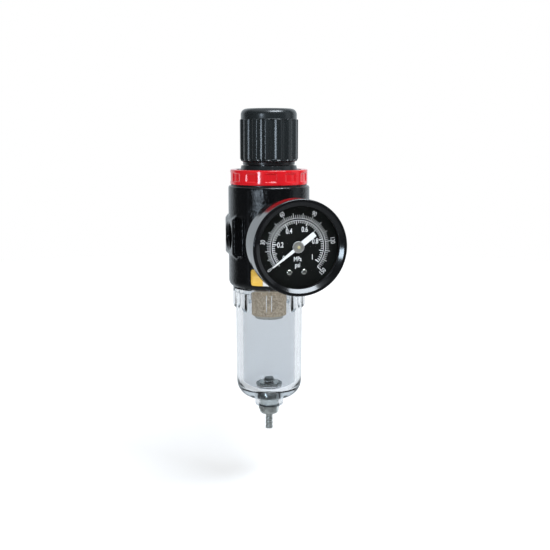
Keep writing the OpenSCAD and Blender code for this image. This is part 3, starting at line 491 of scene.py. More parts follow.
# Opaque finishes; a base given as a word is one of the panel's colours
FINISHES = {
    "die_cast_black": dict(
        base="casting", rough=0.10, grain=1050.0, mottle=120.0, worn=(0.02, 0.021, 0.023), wear=0.5,
        bump=1.0, depth=0.00020, vary=0.03, specular=0.6,
    ),
    "black_plastic": dict(
        base="moulding", rough=0.27, grain=2600.0, mottle=110.0, worn=(0.030, 0.035, 0.036), wear=0.5,
        bump=0.004, vary=0.04, specular=0.7,
    ),
    "red_plastic": dict(
        base="ring", rough=0.15, grain=1600.0, mottle=130.0, worn=(0.75, 0.06, 0.06), wear=0.35,
        bump=0.08, vary=0.03, coat=0.3, coat_rough=0.04, tone=0.06,
    ),
    "white_plastic": dict(
        base=(0.70, 0.69, 0.65), rough=0.4, grain=1800.0, mottle=160.0, wear=0.2, bump=0.08, vary=0.06,
    ),
    "black_rubber": dict(
        base=(0.02, 0.02, 0.021), rough=0.6, grain=2200.0, mottle=180.0, worn=(0.06, 0.06, 0.06), wear=0.3,
        bump=0.2, depth=0.00003, specular=0.3,
    ),
    "gauge_black": dict(
        base="gauge", rough=0.17, grain=700.0, mottle=90.0, worn=(0.02, 0.02, 0.022), wear=0.3,
        bump=0.03, vary=0.04, coat=0.3,
    ),
    "dial_black": dict(
        base="dial", rough=0.62, grain=3000.0, mottle=200.0, wear=0.0,
        bump=0.1, depth=0.00001, vary=0.06, specular=0.05,
    ),
    "print_white": dict(
        base="print_white", rough=0.5, grain=4000.0, mottle=500.0, wear=0.0,
        bump=0.05, depth=0.00001, vary=0.05, specular=0.3, tone=0.04,
    ),
    "print_grey": dict(
        base="print_grey", rough=0.5, grain=4000.0, mottle=500.0, wear=0.0,
        bump=0.05, depth=0.00001, vary=0.05, specular=0.3, tone=0.06,
    ),
    "pointer_white": dict(
        base="print_white", rough=0.38, grain=2500.0, mottle=300.0, wear=0.0,
        bump=0.05, depth=0.00001, vary=0.05, specular=0.4, tone=0.04,
    ),
    "sticker_amber": dict(
        base="amber", rough=0.34, grain=1500.0, mottle=170.0, worn=(0.95, 0.7, 0.3), bump=0.05, vary=0.05, tone=0.05,
    ),
    "sticker_paper": dict(
        base="paper", rough=0.36, grain=1500.0, mottle=170.0, wear=0.2, bump=0.05, vary=0.05, tone=0.03,
    ),
    "nickel_plate": dict(
        base="nickel", rough=0.28, grain=900.0, mottle=160.0, worn=(0.8, 0.79, 0.76), wear=0.5, metallic=0.85,
    ),
    "dark_plate": dict(
        base=(0.24, 0.26, 0.25), rough=0.22, grain=1200.0, mottle=200.0, worn=(0.5, 0.5, 0.5), vary=0.06, metallic=1.0,
    ),
    "plated_steel": dict(
        base=(0.56, 0.56, 0.57), rough=0.28, grain=1200.0, mottle=200.0, worn=(0.75, 0.75, 0.75), metallic=1.0,
    ),
    "spring_steel": dict(
        base=(0.42, 0.42, 0.43), rough=0.32, grain=1400.0, mottle=240.0, worn=(0.6, 0.6, 0.6), wear=0.3, metallic=1.0,
    ),
    "black_steel": dict(
        base=(0.03, 0.03, 0.032), rough=0.4, grain=900.0, mottle=200.0, worn=(0.16, 0.16, 0.16), wear=0.5,
        bump=0.1, metallic=0.6,
    ),
    "hub_alloy": dict(
        base=(0.42, 0.41, 0.37), rough=0.30, grain=1800.0, mottle=300.0, worn=(0.6, 0.59, 0.55),
        bump=0.08, vary=0.06, metallic=0.65,
    ),
    "bright_screw": dict(
        base=(0.85, 0.84, 0.76), rough=0.24, grain=1800.0, mottle=300.0, worn=(0.9, 0.9, 0.88), wear=0.3,
        bump=0.05, depth=0.00001, vary=0.05, metallic=1.0,
    ),
    "brass": dict(base="brass", rough=0.26, grain=800.0, mottle=150.0, worn=(0.86, 0.66, 0.34), wear=0.5, metallic=1.0),
    "dull_brass": dict(
        base=(0.50, 0.44, 0.24), rough=0.5, grain=1500.0, mottle=300.0, worn=(0.7, 0.6, 0.34), wear=0.3,
        depth=0.00001, vary=0.06, metallic=0.2,
    ),
    "phosphor_bronze": dict(
        base=(0.62, 0.36, 0.17), rough=0.3, grain=900.0, mottle=180.0, worn=(0.8, 0.55, 0.3), metallic=1.0,
    ),
    # The filter glows in its own colour: painted light for the lamp light that the clear bowl keeps off it
    "sintered_bronze": dict(
        base="bronze", rough=0.62, grain=900.0, mottle=1000.0, worn=(0.8, 0.65, 0.45),
        bump=1.0, depth=0.0004, vary=0.1, specular=0.3, tone=1.0, painted_glow=0.48,
    ),
}


def finish(name):
    """An opaque finish by name, made when it is first asked for."""
    label = name + "_finish"
    if label in bpy.data.materials:
        return bpy.data.materials[label]
    return solid_finish(label, **FINISHES[name])


def clear_bowl():
    """Clear moulding with faint ripples and an uneven polish."""
    tint = colours().bowl
    material, tree, shader = new_material("clear_bowl_finish")
    set_inputs(shader, {"Transmission Weight": 1.0, "IOR": 1.45})
    surface = add_node(tree, "Group", {"Scale": 90.0, "Mottle": 260.0}, node_tree=grain_group())
    tone = add_node(tree, "Mix", {"A": rgba(tint, 0.985), "B": rgba(tint)}, data_type="RGBA")
    polish = add_node(tree, "MapRange", {"To Min": 0.0, "To Max": 0.03})
    relief = add_node(tree, "Bump", {"Strength": 0.03, "Distance": 0.0002})
    join(
        tree,
        (surface, "Mask", tone, "Factor"),
        (tone, "Result", shader, "Base Color"),
        (surface, "Mask", polish, "Value"),
        (polish, "Result", shader, "Roughness"),
        (surface, "Height", relief, "Height"),
        (relief, "Normal", shader, "Normal"),
    )
    return material


def clear_window():
    """Thin clear pane, all but see-through, with a faint uneven film."""
    material, tree, shader = new_material("clear_window_finish")
    set_inputs(shader, {"Base Color": rgba((0.02, 0.02, 0.02)), "Roughness": 0.2, "Specular IOR Level": 0.2})
    surface = add_node(tree, "Group", {"Mottle": 120.0}, node_tree=grain_group())
    film = add_node(tree, "MapRange", {"To Min": 0.004, "To Max": 0.012})
    join(tree, (surface, "Mask", film, "Value"), (film, "Result", shader, "Alpha"))
    return material


# Pieces


class REGULATOR_OT_body(bpy.types.Operator):
    """Cast body with softened edges, its blank sticker and the plug at the back"""

    bl_idname = "regulator.body"
    bl_label = "Body"

    def execute(self, context):
        casting = dress("body", finish("die_cast_black"))
        weld(casting)
        skin = casting.modifiers.new("cast_skin", "REMESH")
        skin.mode = "VOXEL"
        skin.voxel_size = sizes().casting_round
        skin.use_smooth_shade = True
        soften = casting.modifiers.new("soften", "SMOOTH")
        soften.factor = 0.5
        soften.iterations = 5
        dress("rear_plug", finish("black_steel"), sizes().metal_edge)
        left, border, right = 40.5, 23.6, -3.0
        self.label("sticker_amber", finish("sticker_amber"), left, border)
        self.label("sticker_white", finish("sticker_paper"), right, border)
        return {"FINISHED"}

    def label(self, name, material, rounded_end, square_end):
        """A field of the sticker, bent round the body between two angles, with rounded corners at one end."""
        body_r, sunk, corner, high = 20.0, 0.4, 1.2, -14.7
        low = high - sizes().sticker_height / MM
        skin_r = body_r + sizes().sticker_lift / MM
        span = abs(rounded_end - square_end)
        steps, crowding = 24, 1.6
        rows = [[], [], [], []]
        mesh = bmesh.new()
        for k in range(steps + 1):
            share = (k / steps) ** crowding
            along = math.radians(span * share) * body_r
            inset = corner - math.sqrt(max(0, corner**2 - max(0, corner - along) ** 2))
            a = math.radians(-90 - rounded_end - (square_end - rounded_end) * share)
            for row, r, z in zip(
                rows,
                (body_r - sunk, skin_r, skin_r, body_r - sunk),
                (low + inset, low + inset, high - inset, high - inset),
            ):
                row.append(mesh.verts.new((r * math.cos(a) * MM, r * math.sin(a) * MM, z * MM)))
        skin_rows(mesh, rows)
        bmesh.ops.recalc_face_normals(mesh, faces=mesh.faces)
        add_piece(name, mesh, material, "housing", MAIN_AXIS, weighted=False)


class REGULATOR_OT_bonnet(bpy.types.Operator):
    """Black bonnet under the knob and the red ring nut on its neck"""

    bl_idname = "regulator.bonnet"
    bl_label = "Bonnet and ring nut"

    def execute(self, context):
        dress("bonnet", finish("black_plastic"), sizes().metal_edge)
        low, high = (corner.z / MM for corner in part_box("ring_nut"))
        soft = sizes().ring_edge / MM
        bore, outer, rim = 15.06, 19.0, 1.3
        count, share, depth, flank, fade = 12, 0.54, 0.42, 0.07, 0.16
        clock = math.radians(-101.7)
        tall = high - low - 2 * rim
        levels = (0.04, 0.08, 0.12, 0.16, 0.5, 0.84, 0.88, 0.92, 0.96)
        profile = filleted([(bore, low, 0.3), (outer, low, soft), (outer, low + rim)])
        profile += [(outer, low + rim + t * tall) for t in levels]
        profile += filleted([(outer, high - rim), (outer, high, soft * 2.7), (bore, high, 0.4)])

        def finger(angle, radius, height):
            """Recesses in the outer wall that fade towards its rims."""
            if radius < outer - 0.01:
                return radius
            sunk = eased(min(height - low - rim, high - rim - height) / (fade * tall))
            return radius - depth * sunk * trapezoid(angle, count, clock, share, flank)

        mesh = revolve(profile, 480, finger)
        add_piece("ring_nut_visual", mesh, finish("red_plastic"), "ring", MAIN_AXIS, "ring_nut")
        return {"FINISHED"}


class REGULATOR_OT_knob(bpy.types.Operator):
    """Ribbed push-lock knob"""

    bl_idname = "regulator.knob"
    bl_label = "Knob"

    def execute(self, context):
        low, high = (corner.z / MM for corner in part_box("knob"))
        soft = sizes().knob_edge / MM
        rib_r, cap_r, rim_r, bore = 14.3, 13.65, 12.75, 12.1
        ribs, share, flank, groove_r = 15, 0.44, 0.17, rib_r - 0.75
        rim, rib_foot, rib_top = low + 1.4, low + 2.5, high - 5.2
        cap_round, wall, segments = 2.8, 2.8, 600
        clock = math.radians(-6.6 - 90)
        profile = filleted([(bore, low, 0.15), (rim_r, low, soft), (rim_r, rim, 0.2), (rib_r, rib_foot, 0.5)])
        profile += [(rib_r, rib_foot + 0.6), (rib_r, rib_top - 0.9)]
        profile += filleted([
            (rib_r, rib_top - 0.9), (rib_r, rib_top, soft), (cap_r, rib_top + 0.15, 0.12),
            (cap_r, high - cap_round - 0.2),
        ])[1:]
        profile += arc_points(cap_r - cap_round, high - cap_round, cap_round, 0, 90, 10)
        profile += [(cap_r - cap_round - 1.0, high), (3.0, high), (0, high)]
        inside = [(0, high - wall), (bore - 1, high - wall), (bore, high - wall - 1), (bore, low + 1)]

        def fluted(angle, radius, height):
            """Grooves between the ribs, down to one radius."""
            if radius <= groove_r or height > rib_top + 0.05:
                return radius
            return radius - trapezoid(angle, ribs, clock, share, flank) * (radius - groove_r)

        mesh = revolve(profile, segments, fluted, closed=False)
        merge(mesh, revolve(inside, segments, closed=False))
        bmesh.ops.bridge_loops(mesh, edges=[e for e in mesh.edges if e.is_boundary])
        bmesh.ops.recalc_face_normals(mesh, faces=mesh.faces)
        add_piece("knob_visual", mesh, finish("black_plastic"), "knob", MAIN_AXIS, "knob")
        return {"FINISHED"}


class REGULATOR_OT_bowl(bpy.types.Operator):
    """Clear bowl with grip ribs, and the filter inside it"""

    bl_idname = "regulator.bowl"
    bl_label = "Bowl and filter"

    def execute(self, context):
        mesh = self.moulding()
        add_piece("bowl_visual", mesh, clear_bowl(), "bowl", MAIN_AXIS, "bowl")
        edge = sizes().metal_edge
        dress("filter_element", finish("sintered_bronze"), edge)
        dress("element_nut", finish("white_plastic"), edge)
        dress("deflector", finish("black_plastic"), edge)
        dress("valve_guide", finish("white_plastic"))
        dress("bowl_o_ring", finish("black_rubber"))
        return {"FINISHED"}

    def moulding(self):
        """Mesh of the bowl: boss, round foot, ribbed wall, collar and neck outside, then the inside."""
        low, high = (corner.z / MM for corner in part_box("bowl"))
        soft = sizes().bowl_edge / MM
        wall_r, draft, bore, boss_r, drain_r = 16.6, 0.25, 13.4, 7.1, 4.96
        foot, round_r, low_r = low + 4.7, 8.5, wall_r - draft
        shoulder, collar_foot, collar_r, neck_r = -25.8, -27.7, 18.0, 15.8
        floor, floor_round, sump_r = low + 9.5, 5, 7.3
        ribs, rib_w, rib_foot, rib_rise, rib_round = 8, 2.6, -36.3, 1.35, 2.0
        share, flank = rib_w / (2 * math.pi * 17.5 / ribs), 0.02
        clock = math.radians(-15 - 90)
        levels = (-3, -1.5, -0.9, -0.6, -0.3, 0.1, 0.5, 0.9, 1.5, 2.5, 5, 7)
        outside = filleted([(drain_r, low), (boss_r, low, 0.8), (boss_r, foot, 0.9), (low_r - round_r, foot)])
        outside += arc_points(low_r - round_r, foot + round_r, round_r, -88, 0, 14)
        outside += [(wall_r - draft * 0.1, rib_foot + up) for up in levels]
        outside += filleted([
            (wall_r, rib_foot + levels[-1]), (wall_r, collar_foot, 0.3), (collar_r, collar_foot, soft),
            (collar_r, shoulder, 0.6), (neck_r, shoulder, 0.2), (neck_r, high, 0.4), (bore, high, 0.4),
            (bore, high - 4),
        ])[1:]
        inside = arc_points(bore - draft - floor_round, floor + floor_round, floor_round, 0, -60, 8)
        inside += filleted([(9.4, floor + 0.35), (sump_r, floor, 0.5), (drain_r, floor)])[1:]

        def ribbed(angle, radius, height):
            """Grip ribs below the collar that rise from the wall in a round."""
            if not rib_foot - 0.7 < height < collar_foot + 0.2 or radius < neck_r - 0.3:
                return radius
            climb = min(1, max(0, (height - rib_foot + 0.6) / rib_round))
            top = wall_r + rib_rise * math.sin(climb * math.pi / 2)
            return max(radius, radius + trapezoid(angle, ribs, clock, share, flank) * (top - radius))

        return revolve(outside + inside, 480, ribbed)


class REGULATOR_OT_drain(bpy.types.Operator):
    """Plated drain through the bowl's foot"""

    bl_idname = "regulator.drain"
    bl_label = "Drain"

    def execute(self, context):
        edge = sizes().metal_edge
        for node in ("drain_body", "drain_stem"):
            dress(node, finish("nickel_plate"), edge)
        for node in ("drain_nut", "drain_head"):
            dress(node, finish("dark_plate"), edge)
        for node in ("drain_gasket", "drain_seal"):
            dress(node, finish("black_rubber"))
        sprung("drain_spring", "bowl")
        return {"FINISHED"}


class REGULATOR_OT_gauge(bpy.types.Operator):
    """Pressed gauge case, bezel, window and brass socket"""

    bl_idname = "regulator.gauge"
    bl_label = "Gauge case"

    def execute(self, context):
        soft = sizes().gauge_edge / MM
        back, front = 32.0, 50.5
        case_r, wall, neck = 20.0, 1.0, 4.86
        case = filleted([
            (neck, back), (case_r, back, 3.0), (case_r, front, 0.2), (case_r - wall, front, 0.2),
            (case_r - wall, back + wall, 2.0), (neck, back + wall),
        ], 8)
        rim, reach, sight, seat_r = 21.5, 54.0, 18.3, case_r + 0.06
        skirt, lip = reach - 7.5, reach - 1.6
        bezel = filleted([
            (seat_r, skirt, 0.2), (rim, skirt, soft), (rim, reach - 0.05, 1.25), (rim - 1.4, reach, 0.4),
            (sight, reach - 1.25, 0.15), (sight, lip, 0.1), (seat_r, lip, 0.1),
        ], 8)
        pane_r, pane_back, pane_front = 19.9, 51.1, 52.35
        pane = filleted([
            (0, pane_back), (pane_r, pane_back, 0.15), (pane_r, pane_front, 0.15), (0, pane_front),
        ], 3)
        enamel = finish("gauge_black")
        for node, mesh, material, slot in (
            ("gauge_case", revolve(case, 192), enamel, "gauge_black"),
            ("gauge_bezel", revolve(bezel, 224), enamel, "gauge_black"),
            ("gauge_window", revolve(pane, 128, closed=False), clear_window(), "clear_window"),
        ):
            add_piece(node + "_visual", mesh, material, "housing", GAUGE_AXIS, node)
        dress("gauge_socket", finish("brass"), sizes().metal_edge)
        dress("window_gasket", finish("black_rubber"))
        return {"FINISHED"}


# Half the thickness of the dial's print, in millimetres
PRINT_HALF = 0.015

# The dial's scale: pressures in psi, and angles of its start and its first number
PSI_PER_MPA = 145.04
FIRST_PSI, FULL_PSI = 30, 150
START_ANGLE, FIRST_ANGLE, EVEN_TURN = 217, 171, 216


def dial_angle(psi):
    """Angle of a pressure on the dial; the scale is shorter below its first number and even above it."""
    if psi < FIRST_PSI:
        return START_ANGLE - (START_ANGLE - FIRST_ANGLE) * psi / FIRST_PSI
    return FIRST_ANGLE - EVEN_TURN * (psi - FIRST_PSI) / (FULL_PSI - FIRST_PSI)


def polar(radius, angle):
    """Point on the dial at an angle in degrees."""
    a = math.radians(angle)
    return radius * math.cos(a), radius * math.sin(a)


def lettering(target, text, size, at, turn):
    """Adds a word or number to a mesh, flat on the dial, centred at a point."""
    bold, narrow = 0.006, 0.74
    curve = bpy.data.curves.new("lettering", "FONT")
    curve.body = text
    curve.size = size
    curve.align_x = "CENTER"
    curve.align_y = "CENTER"
    curve.offset = size * bold
    curve.extrude = PRINT_HALF
    writing = add_object("lettering", curve)
    bpy.context.view_layer.update()
    flat = bpy.data.meshes.new_from_object(writing.evaluated_get(bpy.context.evaluated_depsgraph_get()))
    turned = Matrix.Rotation(math.radians(turn), 4, "Z") @ Matrix.Diagonal((narrow, 1, 1, 1))
    flat.transform(Matrix.Scale(MM, 4) @ Matrix.Translation((*at, 0)) @ turned)
    target.from_mesh(flat)
    bpy.data.objects.remove(writing)
    bpy.data.curves.remove(curve)
    bpy.data.meshes.remove(flat)


def bar(target, inner, outer, angle, width):
    """Adds a scale mark between two radii to a mesh."""
    along = Vector((*polar(1, angle), 0))
    across = Vector((-along.y, along.x, 0)) * width / 2
    rows = []
    for side, height in ((-1, -PRINT_HALF), (1, -PRINT_HALF), (1, PRINT_HALF), (-1, PRINT_HALF)):
        edge = across * side + Vector((0, 0, height))
        rows.append([target.verts.new((along * r + edge) * MM) for r in (inner, outer)])
    skin_rows(target, rows)


def band(target, radius, start, end, width):
    """Adds a thin arc to a mesh."""
    steps = 120
    low_r, high_r = radius - width / 2, radius + width / 2
    rows = []
    for r, z in ((low_r, -PRINT_HALF), (high_r, -PRINT_HALF), (high_r, PRINT_HALF), (low_r, PRINT_HALF)):
        points = [polar(r, start + (end - start) * k / steps) for k in range(steps + 1)]
        rows.append([target.verts.new((x * MM, y * MM, z * MM)) for x, y in points])
    skin_rows(target, rows)


class REGULATOR_OT_dial(bpy.types.Operator):
    """Black dial with its two printed scales, screws and pointer"""

    bl_idname = "regulator.dial"
    bl_label = "Dial and pointer"

    def execute(self, context):
        dress("gauge_dial", finish("dial_black"))
        dress("pointer", finish("pointer_white"), 0.05 * MM)
        dress("pointer_cap", finish("hub_alloy"), 0.45 * MM, steps=4)
        dress("pointer_arbor", finish("brass"))
        print_height = 49.53 * MM
        on_dial = GAUGE_AXIS @ Matrix.Translation((0, 0, print_height))
        line = sizes().scale_line / MM
        tall = sizes().number_height / MM
        for name, mesh, material in (
            ("dial_scale_outer", self.outer_scale(line, tall), finish("print_grey")),
            ("dial_scale_inner", self.inner_scale(line, tall), finish("print_white")),
        ):
            bmesh.ops.recalc_face_normals(mesh, faces=mesh.faces)
            add_piece(name, mesh, material, "housing", on_dial, weighted=False)
        self.pin()
        self.screws()
        return {"FINISHED"}

    def outer_scale(self, line, tall):
        """Psi, outside its arc, with numbers that stand along the rim; the last one reads from the middle"""
        arc_r, number_r, long_mark, short_mark = 12.75, 16.2, 2.3, 1.5
        mesh = bmesh.new()
        band(mesh, arc_r, dial_angle(0), dial_angle(FULL_PSI), line)
        for psi in range(0, FULL_PSI + 1, 2):
            major = psi % 10 == 0
            wide = 2.2 if psi in (0, FULL_PSI) else 1.3 if major else 0.85
            bar(mesh, arc_r, arc_r + (long_mark if major else short_mark), dial_angle(psi), line * wide)
        for psi in range(0, FULL_PSI + 1, 30):
            at = dial_angle(psi)
            turn = at + 90 if psi == FULL_PSI else at - 90
            lettering(mesh, str(psi), tall * 0.88, polar(number_r, at), turn)
        return mesh

    def inner_scale(self, line, tall):
        """MPa, inside its arc, with upright numbers, and the names of both units"""
        arc_r, number_r, long_mark, short_mark = 11.85, 8.2, 1.9, 1.25
        marks, numbers = 50, ("0", "0.2", "0.4", "0.6", "0.8", "1")
        mesh = bmesh.new()
        band(mesh, arc_r, dial_angle(0), dial_angle(PSI_PER_MPA), line)
        for step in range(marks + 1):
            major = step % 5 == 0
            wide = 2.4 if step % 10 == 0 else 1.6 if major else 1.4
            at = dial_angle(PSI_PER_MPA * step / marks)
            bar(mesh, arc_r - (long_mark if major else short_mark), arc_r, at, line * wide)
        for step, number in enumerate(numbers):
            at = dial_angle(PSI_PER_MPA * step / (len(numbers) - 1))
            lettering(mesh, number, tall, polar(number_r, at), 0)
        lettering(mesh, "MPa", tall * 0.88, (-0.2, -5.4), 0)
        lettering(mesh, "psi", tall * 0.92, (-0.2, -8.1), 0)
        return mesh

    def screws(self):
        """Two domed screws in the dial and the pin that the pointer rests against"""
        near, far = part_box("dial_screws")
        back, front = far.y / -MM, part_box("gauge_dial")[0].y / -MM
        head_r, shank_r, rim, dome_r = 1.3, 0.6, 0.1, 2.31
        crown = math.degrees(math.asin(head_r / dome_r))
        sunk = front + rim - dome_r * math.cos(math.radians(crown))
        head = [(0, back), (shank_r, back), (shank_r, front), (head_r, front)]
        head += arc_points(0, sunk, dome_r, 90 - crown, 90, 10)[:-1] + [(0, sunk + dome_r)]
        peg_r, peg_top, bevel = 0.4, near.y / -MM, 0.1
        peg = [(0, front), (peg_r, front), (peg_r, peg_top - bevel), (peg_r - bevel, peg_top), (0, peg_top)]
        mesh = bmesh.new()
        for profile, (x, y) in ((head, (-3.9, -11.3)), (head, (2.9, -11.3)), (peg, polar(11.9, 222))):
            merge(mesh, revolve(profile, 48, closed=False), Matrix.Translation((x * MM, y * MM, 0)))
        bright = finish("bright_screw")
        add_piece("dial_screws_visual", mesh, bright, "housing", GAUGE_AXIS, "dial_screws")

    def pin(self):
        """Brass end of the arbor in the middle of the pointer's hub"""
        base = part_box("pointer_cap")[0].y / -MM
        pin_r, low, high = 0.75, base - 0.1, base + 0.06
        profile = filleted([(0, low), (pin_r, low), (pin_r, high, 0.05), (0, high)], 3)
        mesh = revolve(profile, 32, closed=False)
        add_piece("pointer_pin", mesh, finish("dull_brass"), "pointer", GAUGE_AXIS)


class REGULATOR_OT_works(bpy.types.Operator):
    """Finishes of the pieces that sit inside the body, bonnet and gauge, with the diaphragm in wedges"""

    bl_idname = "regulator.works"
    bl_label = "Inner works"

    def execute(self, context):
        edge = sizes().metal_edge
        for node in ("valve_seat", "valve_stem", "spring_nut", "relief_seat"):
            dress(node, finish("brass"), edge)
        for node in ("movement_plates", "sector_gear", "tube_link"):
            dress(node, finish("brass"))
        for node in ("valve_disc", "guide_o_ring"):
            dress(node, finish("black_rubber"))
        self.membrane()
        sprung("valve_spring", "housing")
        sprung("adjusting_spring", "housing")
        for node in ("adjusting_screw", "spring_plate"):
            dress(node, finish("plated_steel"), edge)
        dress("thrust_washer", finish("phosphor_bronze"), edge)
        dress("bourdon_tube", finish("phosphor_bronze"))
        return {"FINISHED"}

    def membrane(self):
        """Rubber diaphragm in closed wedges: a flat middle, a roll, and the bead at its rim"""
        inner, plate, roll, chamber, bead, rim = 2.16, 10.75, 12.1, 13.5, 14.1, 16.9
        thick, bead_t, roll_under, roll_over = 0.8, 1.5, 0.9, 1.3
        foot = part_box("diaphragm")[LOWER].z / MM
        low, top = foot + (bead_t - thick) / 2, foot + (bead_t + thick) / 2
        profile = [(inner, low), (plate, low), *arc_points(roll, low, roll_under, 180, 0, 6), (bead, low)]
        profile += [(bead, foot), (rim, foot), (rim, foot + bead_t), (bead, foot + bead_t), (bead, top)]
        profile += [*arc_points(roll, top, roll_over, 0, 180, 6), (plate, top), (inner, top)]
        wedges = 8
        reach = math.cos(math.pi / wedges)
        for k in range(wedges):
            middle = 2 * math.pi * (k + 0.5) / wedges
            along = Vector((math.cos(middle), math.sin(middle), 0))
            mesh = revolve(profile, 96)
            centres = [(face, face.calc_center_median()) for face in mesh.faces]
            outside = [face for face, at in centres if at.dot(along) < at.xy.length * reach]
            bmesh.ops.delete(mesh, geom=outside, context="FACES")
            bmesh.ops.holes_fill(mesh, edges=[e for e in mesh.edges if e.is_boundary])
            bmesh.ops.recalc_face_normals(mesh, faces=mesh.faces)
            piece = add_piece(
                f"diaphragm_{k + 1}", mesh, finish("black_rubber"), None, MAIN_AXIS, "diaphragm",
                weighted=False,
            )
            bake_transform(piece)


class REGULATOR_OT_stage(bpy.types.Operator):
    """Pale floor, soft light and the camera"""

    bl_idname = "regulator.stage"
    bl_label = "Stage"

    def execute(self, context):
        stage = stage_settings()
        self.floor(stage)
        self.sky(context.scene, stage)
        self.lamp("key", -44, 3.4, 0.75, (0.07, 0.16), stage.key_power, stage.key_tint)
        self.lamp("top", 21, 56, 0.70, (0.46, 0.22), stage.top_power, stage.lamp_tint)
        self.lamp("fill", 70, 10, 0.80, (0.40, 0.60), stage.fill_power, stage.lamp_tint)
        self.camera(context.scene, stage)
        return {"FINISHED"}

    def floor(self, stage):
        """Wide floor under the bowl's lowest place, which pales away from the part"""
        radius, gap = 0.90, 0.5 * MM
        mesh = bmesh.new()
        bmesh.ops.create_circle(mesh, cap_ends=True, segments=96, radius=radius)
        floor = add_object("floor", mesh_data("floor", mesh))
        floor.location = (AXIS_X, 0, CAD_BOX[LOWER][2] - BOWL_DROP - gap)
        floor.visible_glossy = False
        material, tree, shader = new_material("pale_floor")
        floor.data.materials.append(material)
        set_inputs(shader, {"Roughness": 0.9, "Specular IOR Level": 0.1, "Emission Strength": 0.62})
        place = add_node(tree, "TexCoord")
        far = add_node(tree, "VectorMath", operation="LENGTH")
        paler = add_node(tree, "MapRange", {"From Min": 0.12, "From Max": 0.45, "To Min": 0.62})
        mottle = add_node(tree, "TexNoise", {"Scale": 40.0})
        tone = add_node(tree, "Mix", {"A": rgba(stage.floor, 0.99), "B": rgba(stage.floor)}, data_type="RGBA")
        join(
            tree,
            (place, "Object", far, 0),
            (far, "Value", paler, "Value"),
            (paler, "Result", shader, "Emission Color"),
            (mottle, "Fac", tone, "Factor"),
            (tone, "Result", shader, "Base Color"),
        )

    def sky(self, scene, stage):
        """Soft light all round. Seen directly or through clear pieces it is white.

        Mirrored in a surface it is dark and cool, but for a backdrop, a ceiling and a table.
        """
        world = bpy.data.worlds.new("studio")
        scene.world = world
        world.use_nodes = True
        tree = world.node_tree
        soft = tree.nodes["Background"]
        set_inputs(soft, {"Strength": stage.sky_level, "Color": (1, 1, 1, 1)})
        place = add_node(tree, "TexCoord")
        view = (math.sin(VIEW_ACROSS), math.cos(VIEW_ACROSS), 0)
        ahead = add_node(tree, "VectorMath", {1: view}, operation="DOT_PRODUCT")
        split = add_node(tree, "SeparateXYZ")
        smooth = {"interpolation_type": "SMOOTHSTEP"}
        backdrop = add_node(tree, "MapRange", {"From Min": 0.35, "From Max": 0.65, "To Min": 0.06}, **smooth)
        ceiling = add_node(tree, "MapRange", {"From Min": 0.5, "From Max": 0.95, "To Max": 0.9}, **smooth)
        table = add_node(tree, "MapRange", {"From Min": -0.15, "From Max": -0.6, "To Max": 0.32}, **smooth)
        above, mirrored, seen, shown = (add_node(tree, "Math", operation="MAXIMUM") for _ in range(4))
        cool = add_node(tree, "VectorMath", {0: (0.80, 0.88, 0.94)}, operation="SCALE")
        path = add_node(tree, "LightPath")
        shade = add_node(tree, "Mix", {"A": (1, 1, 1, 1)}, data_type="RGBA")
        white = add_node(tree, "Background", {"Strength": 1.0})
        pick = add_node(tree, "MixShader")
        join(
            tree,
            (place, "Generated", ahead, 0),
            (place, "Generated", split, "Vector"),
            (ahead, "Value", backdrop, "Value"),
            (split, "Z", ceiling, "Value"),
            (split, "Z", table, "Value"),
            (backdrop, "Result", above, 0),
            (ceiling, "Result", above, 1),
            (above, "Value", mirrored, 0),
            (table, "Result", mirrored, 1),
            (mirrored, "Value", cool, "Scale"),
            (cool, "Vector", shade, "B"),
            (path, "Is Glossy Ray", shade, "Factor"),
            (shade, "Result", white, "Color"),
            (path, "Is Camera Ray", seen, 0),
            (path, "Is Glossy Ray", seen, 1),
            (seen, "Value", shown, 0),
            (path, "Is Transmission Ray", shown, 1),
            (shown, "Value", pick, "Fac"),
            (soft, "Background", pick, 1),
            (white, "Background", pick, 2),
            (pick, "Shader", tree.nodes["World Output"], "Surface"),
        )

    def lamp(self, name, across, up, far, size, power, tint):
        """A soft box at a bearing from the front, a height angle and a distance, aimed at the part."""
        lamp = bpy.data.lights.new(name, "AREA")
        lamp.shape = "RECTANGLE"
        lamp.size, lamp.size_y = size
        lamp.energy = power
        lamp.color = tint
        holder = add_object(name, lamp)
        bearing, height = math.radians(across), math.radians(up)
        level_away = Vector((math.sin(bearing), -math.cos(bearing), 0)) * math.cos(height)
        away = level_away + Vector((0, 0, math.sin(height)))
        middle = Vector((AXIS_X, 0, -20 * MM))
        holder.location = middle + away * far
        holder.rotation_euler = (-away).to_track_quat("-Z", "Y").to_euler()
        holder.visible_camera = False

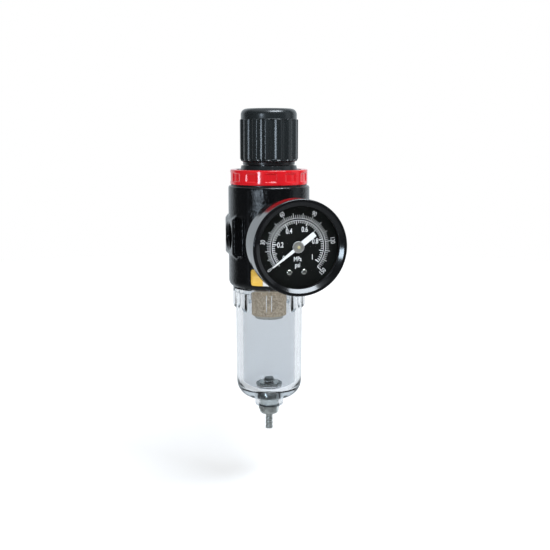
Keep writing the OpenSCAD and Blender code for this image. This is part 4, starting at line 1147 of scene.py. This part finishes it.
    def camera(self, scene, stage):
        """The photograph's camera, with its place fitted to the part"""
        eye = Vector((-0.0849, -0.3927, 0.0473))
        ahead = Vector((math.sin(VIEW_ACROSS), math.cos(VIEW_ACROSS), 0)) * math.cos(VIEW_DOWN)
        look = ahead - Vector((0, 0, math.sin(VIEW_DOWN)))
        lens = bpy.data.cameras.new("camera")
        lens.sensor_width = 36.0
        lens.lens = stage.lens
        lens.clip_start = 0.01
        holder = add_object("camera", lens)
        holder.location = eye
        holder.rotation_euler = look.to_track_quat("-Z", "Y").to_euler()
        scene.camera = holder
        scene.view_settings.view_transform = "Standard"


PIECES = (
    REGULATOR_OT_body,
    REGULATOR_OT_bonnet,
    REGULATOR_OT_knob,
    REGULATOR_OT_bowl,
    REGULATOR_OT_drain,
    REGULATOR_OT_gauge,
    REGULATOR_OT_dial,
    REGULATOR_OT_works,
    REGULATOR_OT_stage,
)


class REGULATOR_PT_panel(bpy.types.Panel):
    """Lists the pieces and their settings"""

    bl_idname = "REGULATOR_PT_panel"
    bl_label = "Air filter-regulator"
    bl_space_type = "VIEW_3D"
    bl_region_type = "UI"
    bl_category = "Regulator"

    def draw(self, context):
        layout = self.layout
        for piece in PIECES:
            layout.operator(piece.bl_idname)
        for settings in (sizes(), colours(), stage_settings()):
            box = layout.box()
            for label in settings.__annotations__:
                box.prop(settings, label)


CLASSES = (RegulatorSizes, RegulatorColours, RegulatorStage, *PIECES, REGULATOR_PT_panel)


def register():
    for item in CLASSES:
        bpy.utils.register_class(item)
    bpy.types.Scene.regulator_sizes = bpy.props.PointerProperty(type=RegulatorSizes)
    bpy.types.Scene.regulator_colours = bpy.props.PointerProperty(type=RegulatorColours)
    bpy.types.Scene.regulator_stage = bpy.props.PointerProperty(type=RegulatorStage)


def unregister():
    del bpy.types.Scene.regulator_stage
    del bpy.types.Scene.regulator_colours
    del bpy.types.Scene.regulator_sizes
    for item in reversed(CLASSES):
        bpy.utils.unregister_class(item)


def main():
    register()
    bpy.ops.regulator.body()
    bpy.ops.regulator.bonnet()
    bpy.ops.regulator.knob()
    bpy.ops.regulator.bowl()
    bpy.ops.regulator.drain()
    bpy.ops.regulator.gauge()
    bpy.ops.regulator.dial()
    bpy.ops.regulator.works()
    bpy.ops.regulator.stage()
    bpy.context.view_layer.update()


if __name__ == "__main__":
    main()
